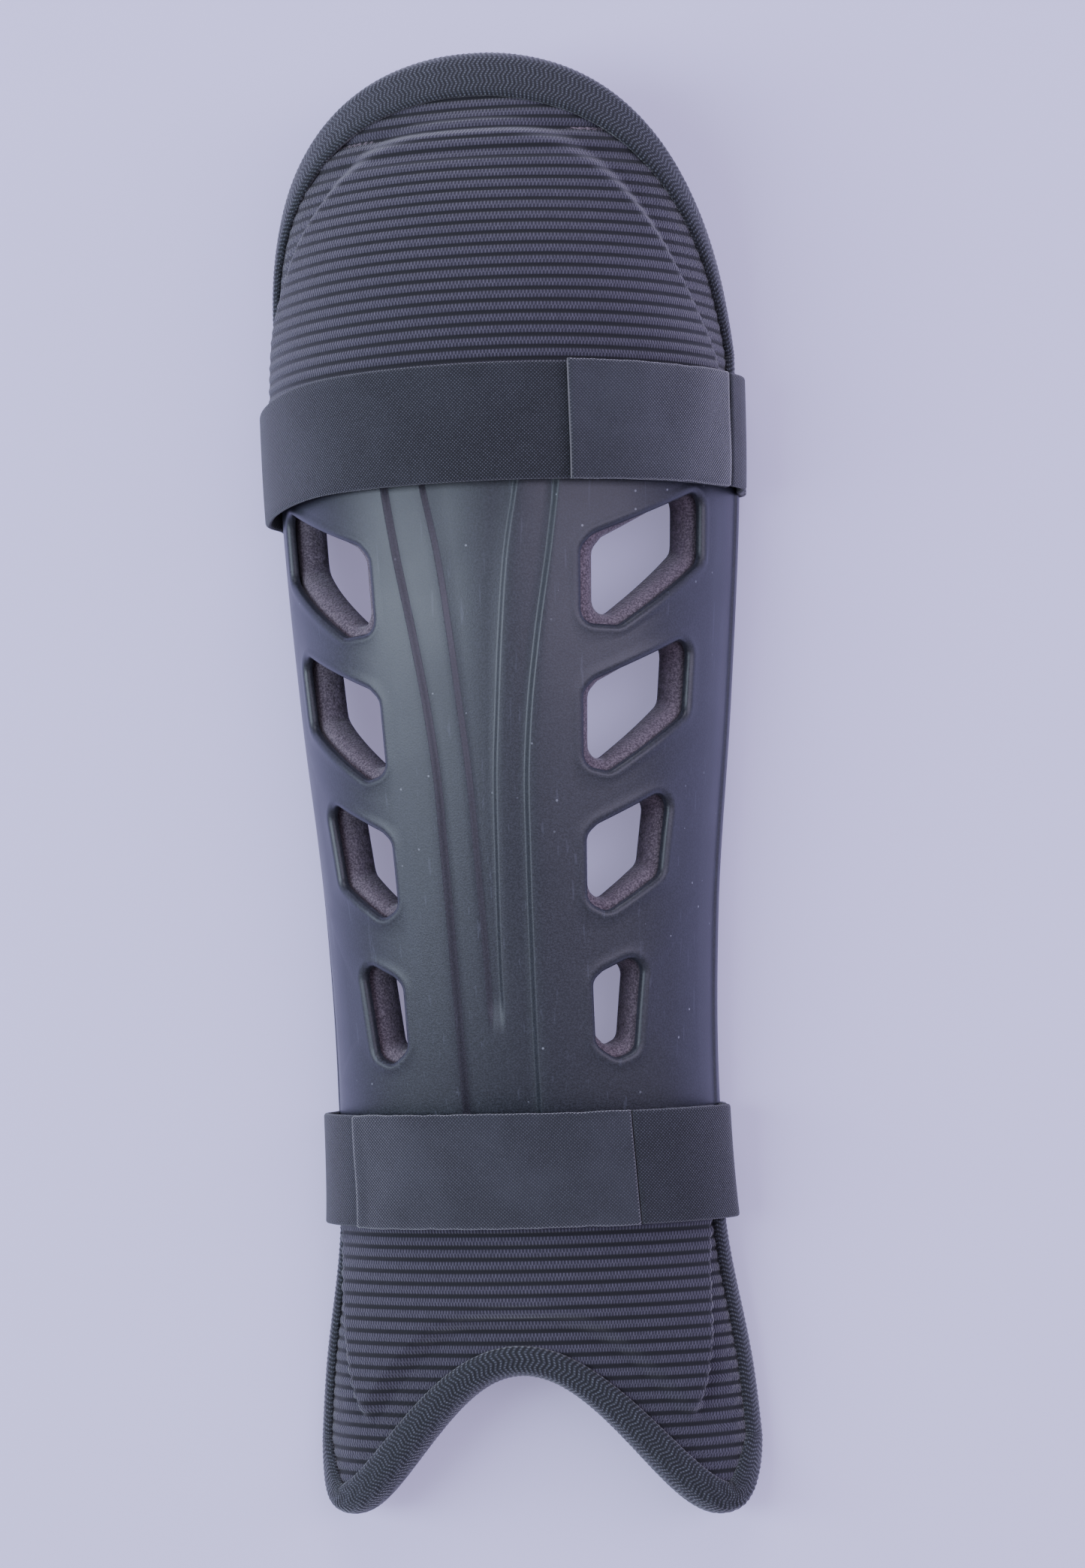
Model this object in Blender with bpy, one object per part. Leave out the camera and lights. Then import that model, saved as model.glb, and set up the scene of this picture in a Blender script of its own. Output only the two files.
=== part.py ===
"""Field hockey shin guard: a vented plastic shell on a foam liner, with ribbed cloth covers at both ends.

The guard lies open side down. X runs across it, Y up its length towards the knee and Z out of its front.
Every layer is a part of one skin, which is worked out from a place (around, along, lift):
around runs from -1 at the left rim over 0 at the spine to 1 at the right rim,
along is the height over the tips of the ankle lobes, and lift is the distance in front of the liner's face.
"""

import bmesh
import bpy
import numpy as np

MM = 0.001

# The guard as a whole
GUARD_LENGTH = 320 * MM
HALF_WIDTH = 49.5 * MM  # the liner's face, at the knee
DEPTH = 51 * MM  # from the rim's plane to the liner's face, at the calf
RIM_BOW = 4 * MM  # how far the rims rise between the knee and the ankle

# The edges of the padding
KNEE_DROP = 63.5 * MM  # from the top of the knee end to where its edge meets the rims
KNEE_ROUNDNESS = 2.2  # the power of the curve of the knee end
ARCH_RISE = 31.7 * MM  # from the lobes' tips to the top of the ankle arch
LOBE_PLACE = 0.68  # how far around the tips of the lobes are

# Walls
CLEARANCE = 0.3 * MM  # between any two layers
SHELL_SEAT = 0.6 * MM  # from the liner's face to the shell's back
SHELL_WALL = 2.0 * MM
LINER_WALL = 6.5 * MM
LINER_EDGE_WALL = 4.0 * MM
LINER_BEVEL = 14 * MM  # how far in from the edge the liner reaches its full wall
COVER_WALL = 1.0 * MM
BINDING_WALL = 1.2 * MM
STRAP_WALL = 1.4 * MM

# The shell's outline stays inside the bindings
KNEE_BINDING_WIDTH = 9 * MM
ANKLE_BINDING_WIDTH = 5.5 * MM
SHELL_KNEE_INSET = 17.5 * MM
SHELL_ANKLE_INSET = 14 * MM
KNEE_SHOULDERS = (0.76, 0.88)  # how far around the shell's shoulders start and end
ANKLE_SHOULDERS = (0.50, 0.80)
KNEE_SHOULDER = 16 * MM
ANKLE_SHOULDER = 50 * MM

# The recess down the spine of the shell
RECESS_DEPTH = 1.5 * MM
GROOVE_DEPTH = 0.9 * MM
WALL_RUN = 1.3 * MM  # how wide the recess's sloping walls are
FOAM_RECESS_GAP = 0.9 * MM  # how far outside the recess the foam behind it starts to sink
GROOVE_END = 114 * MM  # the foot of the inner groove
GROOVE_FADE = 8 * MM

# The ribbed covers
KNEE_RIB_PITCH = 5.0 * MM  # each solid rib stands for two of the cloth's own
ANKLE_RIB_PITCH = 5.4 * MM
RIB_RISE = 0.4 * MM
LOBE_CORNER = 9 * MM  # how far the cover's outer corners at the ankle are rounded off
BINDING_GAP = 1.0 * MM  # from the binding's leg to the cover's edge
COVER_SLACK = 0.5 * MM  # from the shell to the cover stretched over it
COVER_LEVEL_END = 10 * MM  # how much of the cover's hidden end stays level from rim to rim
COVER_LEVEL_FADE = 12 * MM
COVER_SLOPE_MARGIN = 3 * MM  # how far outside the shell the cover starts down to the liner
KNEE_COVER_FOOT = 233 * MM
KNEE_COVER_HEAD = 312 * MM
ANKLE_COVER_FOOT = 4 * MM
ANKLE_COVER_HEAD = 68 * MM

# The straps
STRAP_WIDTH = 25 * MM
UPPER_STRAP_PLACE = 236.7 * MM
LOWER_STRAP_PLACE = 76.3 * MM
STRAP_OVERLAP_GAP = 0.03  # how far around the loop's start stays clear of the end that rises over it
STRAP_DROP = 2.6 * MM  # from the lowest rim to the inside of the straps' back span
STRAP_CORNER = 6 * MM
STRAP_START = 0.78  # how far around the loop starts, under its own end
STRAP_HUG = (0.84, 0.97)  # between these it comes in from the cover to the shell's side
UPPER_TAB = (0.76, 0.265)  # from its seam to its free end
LOWER_TAB = (0.40, -0.505)

# The sections, as shares: along of GUARD_LENGTH, width of HALF_WIDTH, depth of DEPTH, bow of RIM_BOW
SECTIONS = np.array(
    [
        # along, width, depth, bow
        (0.000, 0.985, 0.400, 0.00),
        (0.095, 0.935, 0.410, 0.00),
        (0.190, 0.840, 0.455, 0.40),
        (0.280, 0.815, 0.570, 0.80),
        (0.410, 0.840, 0.705, 1.00),
        (0.560, 0.930, 0.845, 0.90),
        (0.720, 1.000, 0.950, 0.60),
        (0.840, 1.005, 1.000, 0.45),
        (1.000, 0.985, 0.660, 0.30),
    ]
)

# The recess's half widths around, and where along, as shares of GUARD_LENGTH
RECESS = np.array(
    [
        # along, outer wall, inner wall
        (0.00, 0.110, 0.012),
        (0.29, 0.113, 0.012),
        (0.37, 0.118, 0.012),
        (0.45, 0.123, 0.022),
        (0.51, 0.128, 0.032),
        (0.55, 0.142, 0.046),
        (0.60, 0.170, 0.064),
        (0.66, 0.210, 0.092),
        (0.70, 0.232, 0.122),
        (1.00, 0.260, 0.150),
    ]
)

# The vents of one side, from the knee down. The columns ending in _at are shares of GUARD_LENGTH,
# and the others say how far around
VENT_COLUMNS = (
    "spine", "spine_top_at", "top_at", "outer_top", "outer_top_at",
    "outer_foot", "outer_foot_at", "foot", "foot_at", "spine_foot_at",
)
VENTS = (
    (0.305, 0.656, 0.669, 0.725, 0.700, 0.730, 0.650, 0.420, 0.6045, 0.606),
    (0.310, 0.560, 0.572, 0.690, 0.600, 0.680, 0.546, 0.390, 0.5065, 0.511),
    (0.318, 0.464, 0.475, 0.625, 0.497, 0.595, 0.437, 0.385, 0.4120, 0.419),
    (0.328, 0.366, 0.376, 0.525, 0.386, 0.480, 0.318, 0.400, 0.3120, 0.322),
)
VENT_CORNER = 3.0 * MM
LEDGE = 4.0 * MM  # how far the foam shows past the spine side of the top vent
LEDGE_SHARES = (1.0, 0.6, 0.4, 0.3)
FOOT_LEDGE = 2.5 * MM  # and past the lower edge of every vent

# How finely the solids are faceted
ROWS_SHELL = 18
ROWS_LINER = 15
SHELL_CORNER_STEPS = 2
FOAM_CORNER_STEPS = 1
SIDE_COLUMNS = 7

GUARD = "field_hockey_shin_guard"
CUTTERS = "cutters"


def smooth_column(table, column, share):
    """A column of a table at any share: a cubic through its rows whose slopes come from the next rows."""
    place = table[:, 0]
    value = table[:, column]
    slope = np.gradient(value, place)
    row = np.clip(np.searchsorted(place, share) - 1, 0, len(place) - 2)
    span = place[row + 1] - place[row]
    t = np.clip((share - place[row]) / span, 0, 1)
    rise = value[row + 1] - value[row]
    curve = value[row] + rise * t * t * (3 - 2 * t)
    start = slope[row] * span * t * (1 - t) ** 2
    end = slope[row + 1] * span * t * t * (t - 1)
    return curve + start + end


def smooth_step(low, high, value):
    """0 up to low and 1 from high, with a smooth rise between."""
    t = np.clip((value - low) / (high - low), 0, 1)
    return t * t * (3 - 2 * t)


def rim_height(along):
    return RIM_BOW * smooth_column(SECTIONS, 3, along / GUARD_LENGTH)


def half_width(along):
    return HALF_WIDTH * smooth_column(SECTIONS, 1, along / GUARD_LENGTH)


def skin(around, along, lift):
    """Points of the skin: each section is half an ellipse, which a lift makes wider and higher."""
    around, along, lift = np.broadcast_arrays(around, along, lift)
    angle = around * np.pi / 2
    rim = rim_height(along)
    height = DEPTH * smooth_column(SECTIONS, 2, along / GUARD_LENGTH)
    x = (half_width(along) + lift) * np.sin(angle)
    z = rim + (height + lift) * np.cos(angle)
    return np.stack([x, along, z], axis=-1)


def stretch_around(around, along):
    """The length of skin for each unit around, at a place."""
    angle = around * np.pi / 2
    height = DEPTH * smooth_column(SECTIONS, 2, along / GUARD_LENGTH)
    across = half_width(along) * np.cos(angle)
    return np.pi / 2 * np.sqrt(across**2 + (height * np.sin(angle)) ** 2)


def knee_edge(around):
    """How far along the padding's edge is at the knee end."""
    return GUARD_LENGTH - KNEE_DROP * np.abs(around) ** KNEE_ROUNDNESS


def ankle_edge(around):
    """How far along the padding's edge is at the ankle: an arch between two lobes."""
    return ARCH_RISE * np.cos(np.pi / 2 * np.abs(around) / LOBE_PLACE) ** 2


def inset_edge(edge, around, inset):
    """An edge moved into the padding by inset, measured square to it."""
    step = 0.01
    slope = (edge(around + step) - edge(around - step)) / (2 * step)
    slant = np.sqrt(1 + (slope / stretch_around(around, edge(around))) ** 2)
    side = -1 if edge is knee_edge else 1
    return edge(around) + side * inset * slant


def edge_distance(around, along):
    """About how far a place is inside the padding's edge."""
    reach = 1 * MM
    knee_unit = knee_edge(around) - inset_edge(knee_edge, around, reach)
    ankle_unit = inset_edge(ankle_edge, around, reach) - ankle_edge(around)
    knee = (knee_edge(around) - along) * reach / knee_unit
    ankle = (along - ankle_edge(around)) * reach / ankle_unit
    rim = (1 - np.abs(around)) * stretch_around(1.0, along)
    return np.minimum(np.minimum(knee, ankle), rim)


def recess(around, along):
    """How deep the stepped recess is: a wide step with a narrow groove inside it."""
    share = along / GUARD_LENGTH
    run = WALL_RUN / stretch_around(0.0, along)
    outer = smooth_column(RECESS, 1, share)
    inner = smooth_column(RECESS, 2, share)
    wide = 1 - smooth_step(outer, outer + run, np.abs(around))
    narrow = 1 - smooth_step(inner, inner + run, np.abs(around))
    narrow = narrow * smooth_step(GROOVE_END - GROOVE_FADE, GROOVE_END, along)
    return RECESS_DEPTH * wide + GROOVE_DEPTH * narrow


def shell_knee_edge(around):
    shoulder = KNEE_SHOULDER * smooth_step(*KNEE_SHOULDERS, np.abs(around))
    lowest = UPPER_STRAP_PLACE - STRAP_WIDTH / 2 + 2 * MM
    return np.maximum(inset_edge(knee_edge, around, SHELL_KNEE_INSET) - shoulder, lowest)


def shell_ankle_edge(around):
    shoulder = ANKLE_SHOULDER * smooth_step(*ANKLE_SHOULDERS, np.abs(around))
    highest = LOWER_STRAP_PLACE + STRAP_WIDTH / 2 - 4 * MM
    return np.minimum(inset_edge(ankle_edge, around, SHELL_ANKLE_INSET) + shoulder, highest)


def new_object(name, vertices, faces, collection):
    """A mesh object of triangles that all point outwards, so that a cut leaves only flat faces."""
    mesh = bpy.data.meshes.new(name)
    mesh.from_pydata([tuple(point) for point in vertices], [], faces)
    solid = bmesh.new()
    solid.from_mesh(mesh)
    bmesh.ops.recalc_face_normals(solid, faces=solid.faces)
    bmesh.ops.triangulate(solid, faces=solid.faces)
    solid.to_mesh(mesh)
    solid.free()
    item = bpy.data.objects.new(name, mesh)
    bpy.data.collections[collection].objects.link(item)
    return item


def slab(name, around, along, outer_lift, inner_lift, collection=GUARD):
    """A closed wall over a grid of places, whose rows run along and whose columns run around."""
    rows, columns = around.shape
    outer = skin(around, along, outer_lift).reshape(-1, 3)
    inner = skin(around, along, inner_lift).reshape(-1, 3)
    back = len(outer)
    place = np.arange(back).reshape(rows, columns)
    faces = []
    for r in range(rows - 1):
        for c in range(columns - 1):
            quad = (place[r, c], place[r, c + 1], place[r + 1, c + 1], place[r + 1, c])
            faces.append(quad)
            faces.append(tuple(back + corner for corner in reversed(quad)))
    edge = np.concatenate([place[0, :-1], place[:-1, -1], place[-1, :0:-1], place[:0:-1, 0]])
    for k, corner in enumerate(edge):
        before = edge[k - 1]
        faces.append((corner, before, back + before, back + corner))
    return new_object(name, np.concatenate([outer, inner]), faces, collection)


def tube(name, rings, collection=GUARD):
    """A closed solid through rings of points: an array of ring, point and coordinate."""
    count, sides, _ = rings.shape
    faces = [
        (r * sides + k, r * sides + (k + 1) % sides, (r + 1) * sides + (k + 1) % sides, (r + 1) * sides + k)
        for r in range(count - 1)
        for k in range(sides)
    ]
    faces.append(list(range(sides)))
    faces.append([(count - 1) * sides + k for k in reversed(range(sides))])
    return new_object(name, rings.reshape(-1, 3), faces, collection)


def spread(low, high, rows):
    """Rows of places that run evenly from one edge to another, a column each."""
    share = np.linspace(0, 1, rows + 1)[:, None]
    return low[None] * (1 - share) + high[None] * share


def wall_columns(along, rim_inset, with_groove):
    """Columns around that follow the recess's walls, and spread evenly from them to near the rims.

    Without the groove they stay a little outside the recess, for the foam that lies behind it.
    """
    share = along / GUARD_LENGTH
    run = WALL_RUN / stretch_around(0.0, along)
    outer = smooth_column(RECESS, 1, share)
    if not with_groove:
        outer = outer + FOAM_RECESS_GAP / stretch_around(0.0, along)
    inner = smooth_column(RECESS, 2, share)
    side = 1 - rim_inset / stretch_around(1.0, along) - outer - run
    lines = [inner, inner + run] if with_groove else [outer / 2]
    lines += [outer, outer + run]
    lines += [outer + run + side * step / SIDE_COLUMNS for step in range(1, SIDE_COLUMNS + 1)]
    right = np.stack(lines, axis=-1)
    return np.concatenate([-right[..., ::-1], np.zeros_like(right[..., :1]), right], axis=-1)


def walled_grid(low_edge, high_edge, rows, rim_inset, with_groove):
    """A grid whose columns follow the recess. Its edges depend on the columns, so it is found in a few steps."""
    middle = np.full(1, GUARD_LENGTH / 2)
    around = np.repeat(wall_columns(middle, rim_inset, with_groove), rows + 1, axis=0)
    for _ in range(4):
        share = np.linspace(0, 1, rows + 1)[:, None]
        along = low_edge(around) * (1 - share) + high_edge(around) * share
        spine_along = along[:, along.shape[1] // 2]
        around = wall_columns(spine_along, rim_inset, with_groove)
    along = low_edge(around) * (1 - share) + high_edge(around) * share
    return around, along


def rounded(corners, radius, steps):
    """The outline through corners, as rows of (x, y), with each corner rounded by an arc's points."""
    points = []
    count = len(corners)
    for k in range(count):
        corner = corners[k]
        back = corners[k - 1] - corner
        ahead = corners[(k + 1) % count] - corner
        back_length = np.linalg.norm(back)
        ahead_length = np.linalg.norm(ahead)
        cut = min(radius, 0.42 * back_length, 0.42 * ahead_length)
        start = corner + back / back_length * cut
        end = corner + ahead / ahead_length * cut
        for step in range(steps + 1):
            t = step / steps
            points.append((1 - t) ** 2 * start + 2 * t * (1 - t) * corner + t * t * end)
    return np.array(points)


def vent_outline(vent, side, ledge, foot_ledge, steps):
    """A vent's rounded outline as places (around, along), on one side of the spine."""
    size = dict(zip(VENT_COLUMNS, vent))
    girth = stretch_around(size["spine"], GUARD_LENGTH * size["foot_at"])
    spine = size["spine"] + ledge / girth
    rise = foot_ledge / GUARD_LENGTH
    corners = np.array(
        [
            (spine, size["spine_top_at"]),
            (spine + 0.035, size["top_at"] - 0.004),
            (size["outer_top"], size["outer_top_at"]),
            (size["outer_foot"], size["outer_foot_at"] + rise),
            (max(size["foot"], spine + 0.05), size["foot_at"] + rise),
            (spine, size["spine_foot_at"] + rise),
        ]
    )
    flat = corners * (girth, GUARD_LENGTH)
    places = rounded(flat, VENT_CORNER, steps)
    return places[:, 0] / girth * side, places[:, 1]


def vent_cutter(name, outer_lift, inner_lift, ledge, foot_ledge, steps):
    """All eight vents as one cutter: each outline is carried through the skin from one lift to another."""
    vertices = []
    faces = []
    for vent, share in zip(VENTS, LEDGE_SHARES):
        for side in (-1, 1):
            around, along = vent_outline(vent, side, ledge * share, foot_ledge, steps)
            first = len(vertices)
            count = len(around)
            vertices += list(skin(around, along, outer_lift))
            vertices += list(skin(around, along, inner_lift))
            faces.append([first + k for k in range(count)])
            faces.append([first + count + k for k in reversed(range(count))])
            for k in range(count):
                ahead = (k + 1) % count
                faces.append((first + k, first + ahead, first + count + ahead, first + count + k))
    return new_object(name, vertices, faces, CUTTERS)


def cut(item, cutter):
    cutter.hide_render = True
    cutter.display_type = "WIRE"
    modifier = item.modifiers.new(cutter.name, "BOOLEAN")
    modifier.operation = "DIFFERENCE"
    modifier.solver = "EXACT"
    modifier.object = cutter


def make_shell():
    around, along = walled_grid(shell_ankle_edge, shell_knee_edge, ROWS_SHELL, 0.0, True)
    face = SHELL_SEAT + SHELL_WALL - recess(around, along)
    shell = slab("shell", around, along, face, face - SHELL_WALL)
    cut(shell, vent_cutter("vent_cutter", 8 * MM, -4 * MM, 0.0, 0.0, SHELL_CORNER_STEPS))
    return shell


def liner_grid():
    def low(around):
        return inset_edge(ankle_edge, around, CLEARANCE)

    def high(around):
        return inset_edge(knee_edge, around, CLEARANCE)

    return walled_grid(low, high, ROWS_LINER, CLEARANCE, False)


def make_liner():
    around, along = liner_grid()
    bevel = smooth_step(0, LINER_BEVEL, edge_distance(around, along))
    wall = LINER_EDGE_WALL + (LINER_WALL - LINER_EDGE_WALL) * bevel
    middle = around.shape[1] // 2
    outer = np.zeros_like(around)
    outer[:, middle - 2 : middle + 3] = -(RECESS_DEPTH + GROOVE_DEPTH)
    liner = slab("liner", around, along, outer, -wall)
    cut(liner, vent_cutter("foam_cutter", 5 * MM, -12 * MM, LEDGE, FOOT_LEDGE, FOAM_CORNER_STEPS))
    return liner


def cover_lift(around, along, binding_width, shell_inset):
    """The cover's inner face: on the shell, and down on the liner where it meets the binding."""
    distance = edge_distance(around, along)
    over_shell = smooth_step(binding_width - BINDING_GAP, shell_inset - COVER_SLOPE_MARGIN, distance)
    from_hidden_end = np.minimum(np.abs(along - KNEE_COVER_FOOT), np.abs(along - ANKLE_COVER_HEAD))
    under_strap = smooth_step(COVER_LEVEL_END + COVER_LEVEL_FADE, COVER_LEVEL_END, from_hidden_end)
    return CLEARANCE + (SHELL_SEAT + SHELL_WALL + COVER_SLACK) * np.maximum(over_shell, under_strap)


def make_cover(name, low, high, pitch, edge, binding_width, shell_inset):
    """A ribbed strip from low to high, trimmed beside the binding."""
    rim = 1 - (binding_width + 2 * BINDING_GAP) / stretch_around(1.0, np.array([low, high])).min()
    half = np.concatenate([np.linspace(0, rim - 0.07, 8), [rim]])
    columns = np.concatenate([-half[:0:-1], half])
    ribs = int(round((high - low) / pitch))
    rows = 2 * ribs
    along, around = np.meshgrid(np.linspace(low, high, rows + 1), columns, indexing="ij")
    inner = cover_lift(around, along, binding_width, shell_inset)
    crest = (np.arange(rows + 1) % 2)[:, None] * RIB_RISE
    cover = slab(name, around, along, inner + COVER_WALL + crest, inner)

    trim_columns = np.linspace(-1.02, 1.02, 41)
    near = inset_edge(edge, trim_columns, binding_width + BINDING_GAP)
    beyond = 25 * MM
    if edge is knee_edge:
        grid = spread(near, np.full(41, GUARD_LENGTH + beyond), 1)
    else:
        near = near + LOBE_CORNER * smooth_step(LOBE_PLACE, rim, np.abs(trim_columns))
        grid = spread(np.full(41, -beyond), near, 1)
    wide = np.repeat(trim_columns[None], 2, axis=0)
    cut(cover, slab(name + "_trim", wide, grid, 12 * MM, -6 * MM, CUTTERS))
    return cover


def edge_route(edge, rim_end):
    """The padding's edge as places: along the left rim, over the end by the liner's columns, and back."""
    corner = edge(np.ones(1))[0]
    rim_steps = max(2, int(abs(corner - rim_end) / (9 * MM)))
    rim = np.linspace(rim_end, corner, rim_steps, endpoint=False)
    around, _ = liner_grid()
    turn = around[-1 if edge is knee_edge else 0]
    turn = turn / turn.max()
    around = np.concatenate([np.full(rim_steps, -1.0), turn, np.full(rim_steps, 1.0)])
    along = np.concatenate([rim, edge(turn), rim[::-1]])
    return around, along


def make_binding(name, edge, rim_end, width):
    """A tape folded round the edge of the liner and the cover, carried along that edge."""
    around, along = edge_route(edge, rim_end)
    unit = stretch_around(around, along)
    forward_around = np.gradient(around) * unit
    forward_along = np.gradient(along)
    length = np.hypot(forward_around, forward_along)
    turn = 1 if edge is knee_edge else -1
    in_around = turn * forward_along / length / unit
    in_along = -turn * forward_around / length

    front = 2 * CLEARANCE
    back = -LINER_EDGE_WALL - CLEARANCE
    middle = (front + back) / 2
    outer = (front - back) / 2 + BINDING_WALL
    round_off = 1.5 * MM
    tuck = 0.75 * (LINER_WALL - LINER_EDGE_WALL)
    back_width = 0.8 * width
    edge_gap = CLEARANCE * 0.8
    section = (
        # inward, lift
        (width, front),
        (width, front + BINDING_WALL),
        (round_off, front + BINDING_WALL),
        (-0.6 * BINDING_WALL, middle + 0.72 * outer),
        (-CLEARANCE - BINDING_WALL, middle),
        (-0.6 * BINDING_WALL, middle - 0.72 * outer),
        (round_off, back - BINDING_WALL),
        (back_width, back - BINDING_WALL - tuck),
        (back_width, back - tuck),
        (-edge_gap, back),
        (-edge_gap, front),
        (width / 2, front),
    )
    lines = [skin(around + q * in_around, along + q * in_along, lift) for q, lift in section]
    return tube(name, np.stack(lines, axis=1))


def strap_bottom():
    """The plane under both straps' back spans."""
    places = np.array([UPPER_STRAP_PLACE, LOWER_STRAP_PLACE])
    edges = np.concatenate([places - STRAP_WIDTH / 2, places + STRAP_WIDTH / 2])
    return rim_height(edges).min() - STRAP_DROP - STRAP_WALL


def strap_lifts(around):
    """The lifts of a strap's inner face: of its first turn on the cover, and of its end over that turn.

    Both come in to the shell's side at the rims, where only one turn lies.
    """
    on_shell = SHELL_SEAT + SHELL_WALL + CLEARANCE
    on_cover = on_shell + COVER_SLACK + COVER_WALL + RIB_RISE + CLEARANCE
    hug = smooth_step(*STRAP_HUG, np.abs(around))
    first = on_cover + (on_shell - on_cover) * hug
    over = smooth_step(STRAP_HUG[1], STRAP_START + STRAP_OVERLAP_GAP, np.abs(around))
    return first, first + (STRAP_WALL + CLEARANCE) * over


def band_rings(around, along, lift, wall):
    """Rings of a flat band that follows the skin: four points at each place around."""
    low = along - STRAP_WIDTH / 2
    high = along + STRAP_WIDTH / 2
    corners = [
        skin(around, low, lift),
        skin(around, high, lift),
        skin(around, high, lift + wall),
        skin(around, low, lift + wall),
    ]
    return np.stack(corners, axis=1)


def corner_rings(side, along, lift, wall, turn):
    """Rings of the band round a rim: a quarter of an ellipse from the skin's side to the flat back span."""
    floor = strap_bottom()
    rings = []
    for step in turn:
        ring = []
        for edge, depth in ((-1, 0), (1, 0), (1, wall), (-1, wall)):
            place = along + edge * STRAP_WIDTH / 2
            out = half_width(place) + lift + depth
            rim = rim_height(place)
            fall = rim - floor - wall + depth
            x = out - STRAP_CORNER * (1 - np.cos(step)) - depth * (1 - np.cos(step))
            ring.append((side * x, place, rim - fall * np.sin(step)))
        rings.append(ring)
    return np.array(rings)


def make_strap(name, along, end):
    """A loop that starts under its own end, goes over the front to the left, and round the back to the right."""
    under = np.linspace(STRAP_START, -1, 24)
    over = np.linspace(1, end, max(6, int(round((1 - end) * 18))))
    front = band_rings(under, along, strap_lifts(under)[0], STRAP_WALL)
    back = band_rings(over, along, strap_lifts(over)[1], STRAP_WALL)
    side_lift = strap_lifts(1.0)[0]
    turn = np.radians((22.5, 45, 67.5, 90))
    left = corner_rings(-1, along, side_lift, STRAP_WALL, turn)
    right = corner_rings(1, along, side_lift, STRAP_WALL, turn[::-1])
    return tube(name, np.concatenate([front, left, right, back]))


def make_tab(name, along, seam, end):
    """The hook end: it lies over the loop's first turn, from its seam to its free end."""
    seam_gap = CLEARANCE / stretch_around(seam, along)
    steps = max(3, int(round((seam - end) * 12)))
    around = np.linspace(seam - seam_gap, end, steps + 1)
    return tube(name, band_rings(around, along, strap_lifts(around)[1], STRAP_WALL))


def paint(item, colour, roughness):
    material = bpy.data.materials.new(item.name)
    material.use_nodes = True
    shader = material.node_tree.nodes["Principled BSDF"]
    shader.inputs["Base Color"].default_value = (*colour, 1)
    shader.inputs["Roughness"].default_value = roughness
    shader.inputs["Metallic"].default_value = 0
    item.data.materials.append(material)


def stand_on_origin(items):
    """Moves every mesh by one shift, so that the middle of the guard's foot is the origin."""
    graph = bpy.context.evaluated_depsgraph_get()
    points = []
    for item in items:
        shape = item.evaluated_get(graph).to_mesh()
        points += [vertex.co.copy() for vertex in shape.vertices]
    points = np.array(points)
    low = points.min(axis=0)
    high = points.max(axis=0)
    shift = (-(low[0] + high[0]) / 2, -(low[1] + high[1]) / 2, -low[2])
    cutters = list(bpy.data.collections[CUTTERS].objects)
    for item in items + cutters:
        item.location = shift


def main():
    for item in list(bpy.data.objects):
        bpy.data.objects.remove(item)
    for name in (GUARD, CUTTERS):
        collection = bpy.data.collections.new(name)
        bpy.context.scene.collection.children.link(collection)

    black_plastic = (0.018, 0.019, 0.024)
    mauve_foam = (0.12, 0.095, 0.12)
    black_knit = (0.017, 0.017, 0.022)
    black_tape = (0.012, 0.012, 0.015)
    black_elastic = (0.015, 0.016, 0.019)
    covers = (
        ("upper_cover", KNEE_COVER_FOOT, KNEE_COVER_HEAD, KNEE_RIB_PITCH, knee_edge,
         KNEE_BINDING_WIDTH, SHELL_KNEE_INSET),
        ("lower_cover", ANKLE_COVER_FOOT, ANKLE_COVER_HEAD, ANKLE_RIB_PITCH, ankle_edge,
         ANKLE_BINDING_WIDTH, SHELL_ANKLE_INSET),
    )
    finishes = [
        (make_shell(), black_plastic, 0.45),
        (make_liner(), mauve_foam, 0.9),
        (make_binding("upper_binding", knee_edge, KNEE_COVER_FOOT, KNEE_BINDING_WIDTH), black_tape, 0.9),
        (make_binding("lower_binding", ankle_edge, ANKLE_COVER_HEAD - 3 * MM, ANKLE_BINDING_WIDTH),
         black_tape, 0.9),
        (make_strap("upper_strap", UPPER_STRAP_PLACE, UPPER_TAB[0]), black_elastic, 0.85),
        (make_tab("upper_strap_tab", UPPER_STRAP_PLACE, *UPPER_TAB), black_elastic, 0.85),
        (make_strap("lower_strap", LOWER_STRAP_PLACE, LOWER_TAB[0]), black_elastic, 0.85),
        (make_tab("lower_strap_tab", LOWER_STRAP_PLACE, *LOWER_TAB), black_elastic, 0.85),
    ]
    finishes += [(make_cover(*cover), black_knit, 0.9) for cover in covers]
    for item, colour, roughness in finishes:
        paint(item, colour, roughness)
    stand_on_origin([finish[0] for finish in finishes])


main()
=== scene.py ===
"""A field hockey shin guard, dressed: shell, foam liner, ribbed covers, bound edges and webbing straps.

Every surface is worked out on a grid of places. A place is (around, along, lift): around is -1 and 1 at
the rims and 0 on the spine, along is the distance from the ankle end, and lift is the height off the
liner's face.
"""

import bmesh
import bpy
import mathutils
import numpy as np
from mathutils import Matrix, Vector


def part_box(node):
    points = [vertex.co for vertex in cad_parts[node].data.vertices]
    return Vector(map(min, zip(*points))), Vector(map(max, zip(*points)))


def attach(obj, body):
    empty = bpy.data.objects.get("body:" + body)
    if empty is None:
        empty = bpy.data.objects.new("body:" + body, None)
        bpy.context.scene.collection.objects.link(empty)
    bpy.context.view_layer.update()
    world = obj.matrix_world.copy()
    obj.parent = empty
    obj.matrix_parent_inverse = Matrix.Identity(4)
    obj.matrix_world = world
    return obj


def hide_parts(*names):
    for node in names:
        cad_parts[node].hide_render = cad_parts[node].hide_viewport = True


MM = 0.001

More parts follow.
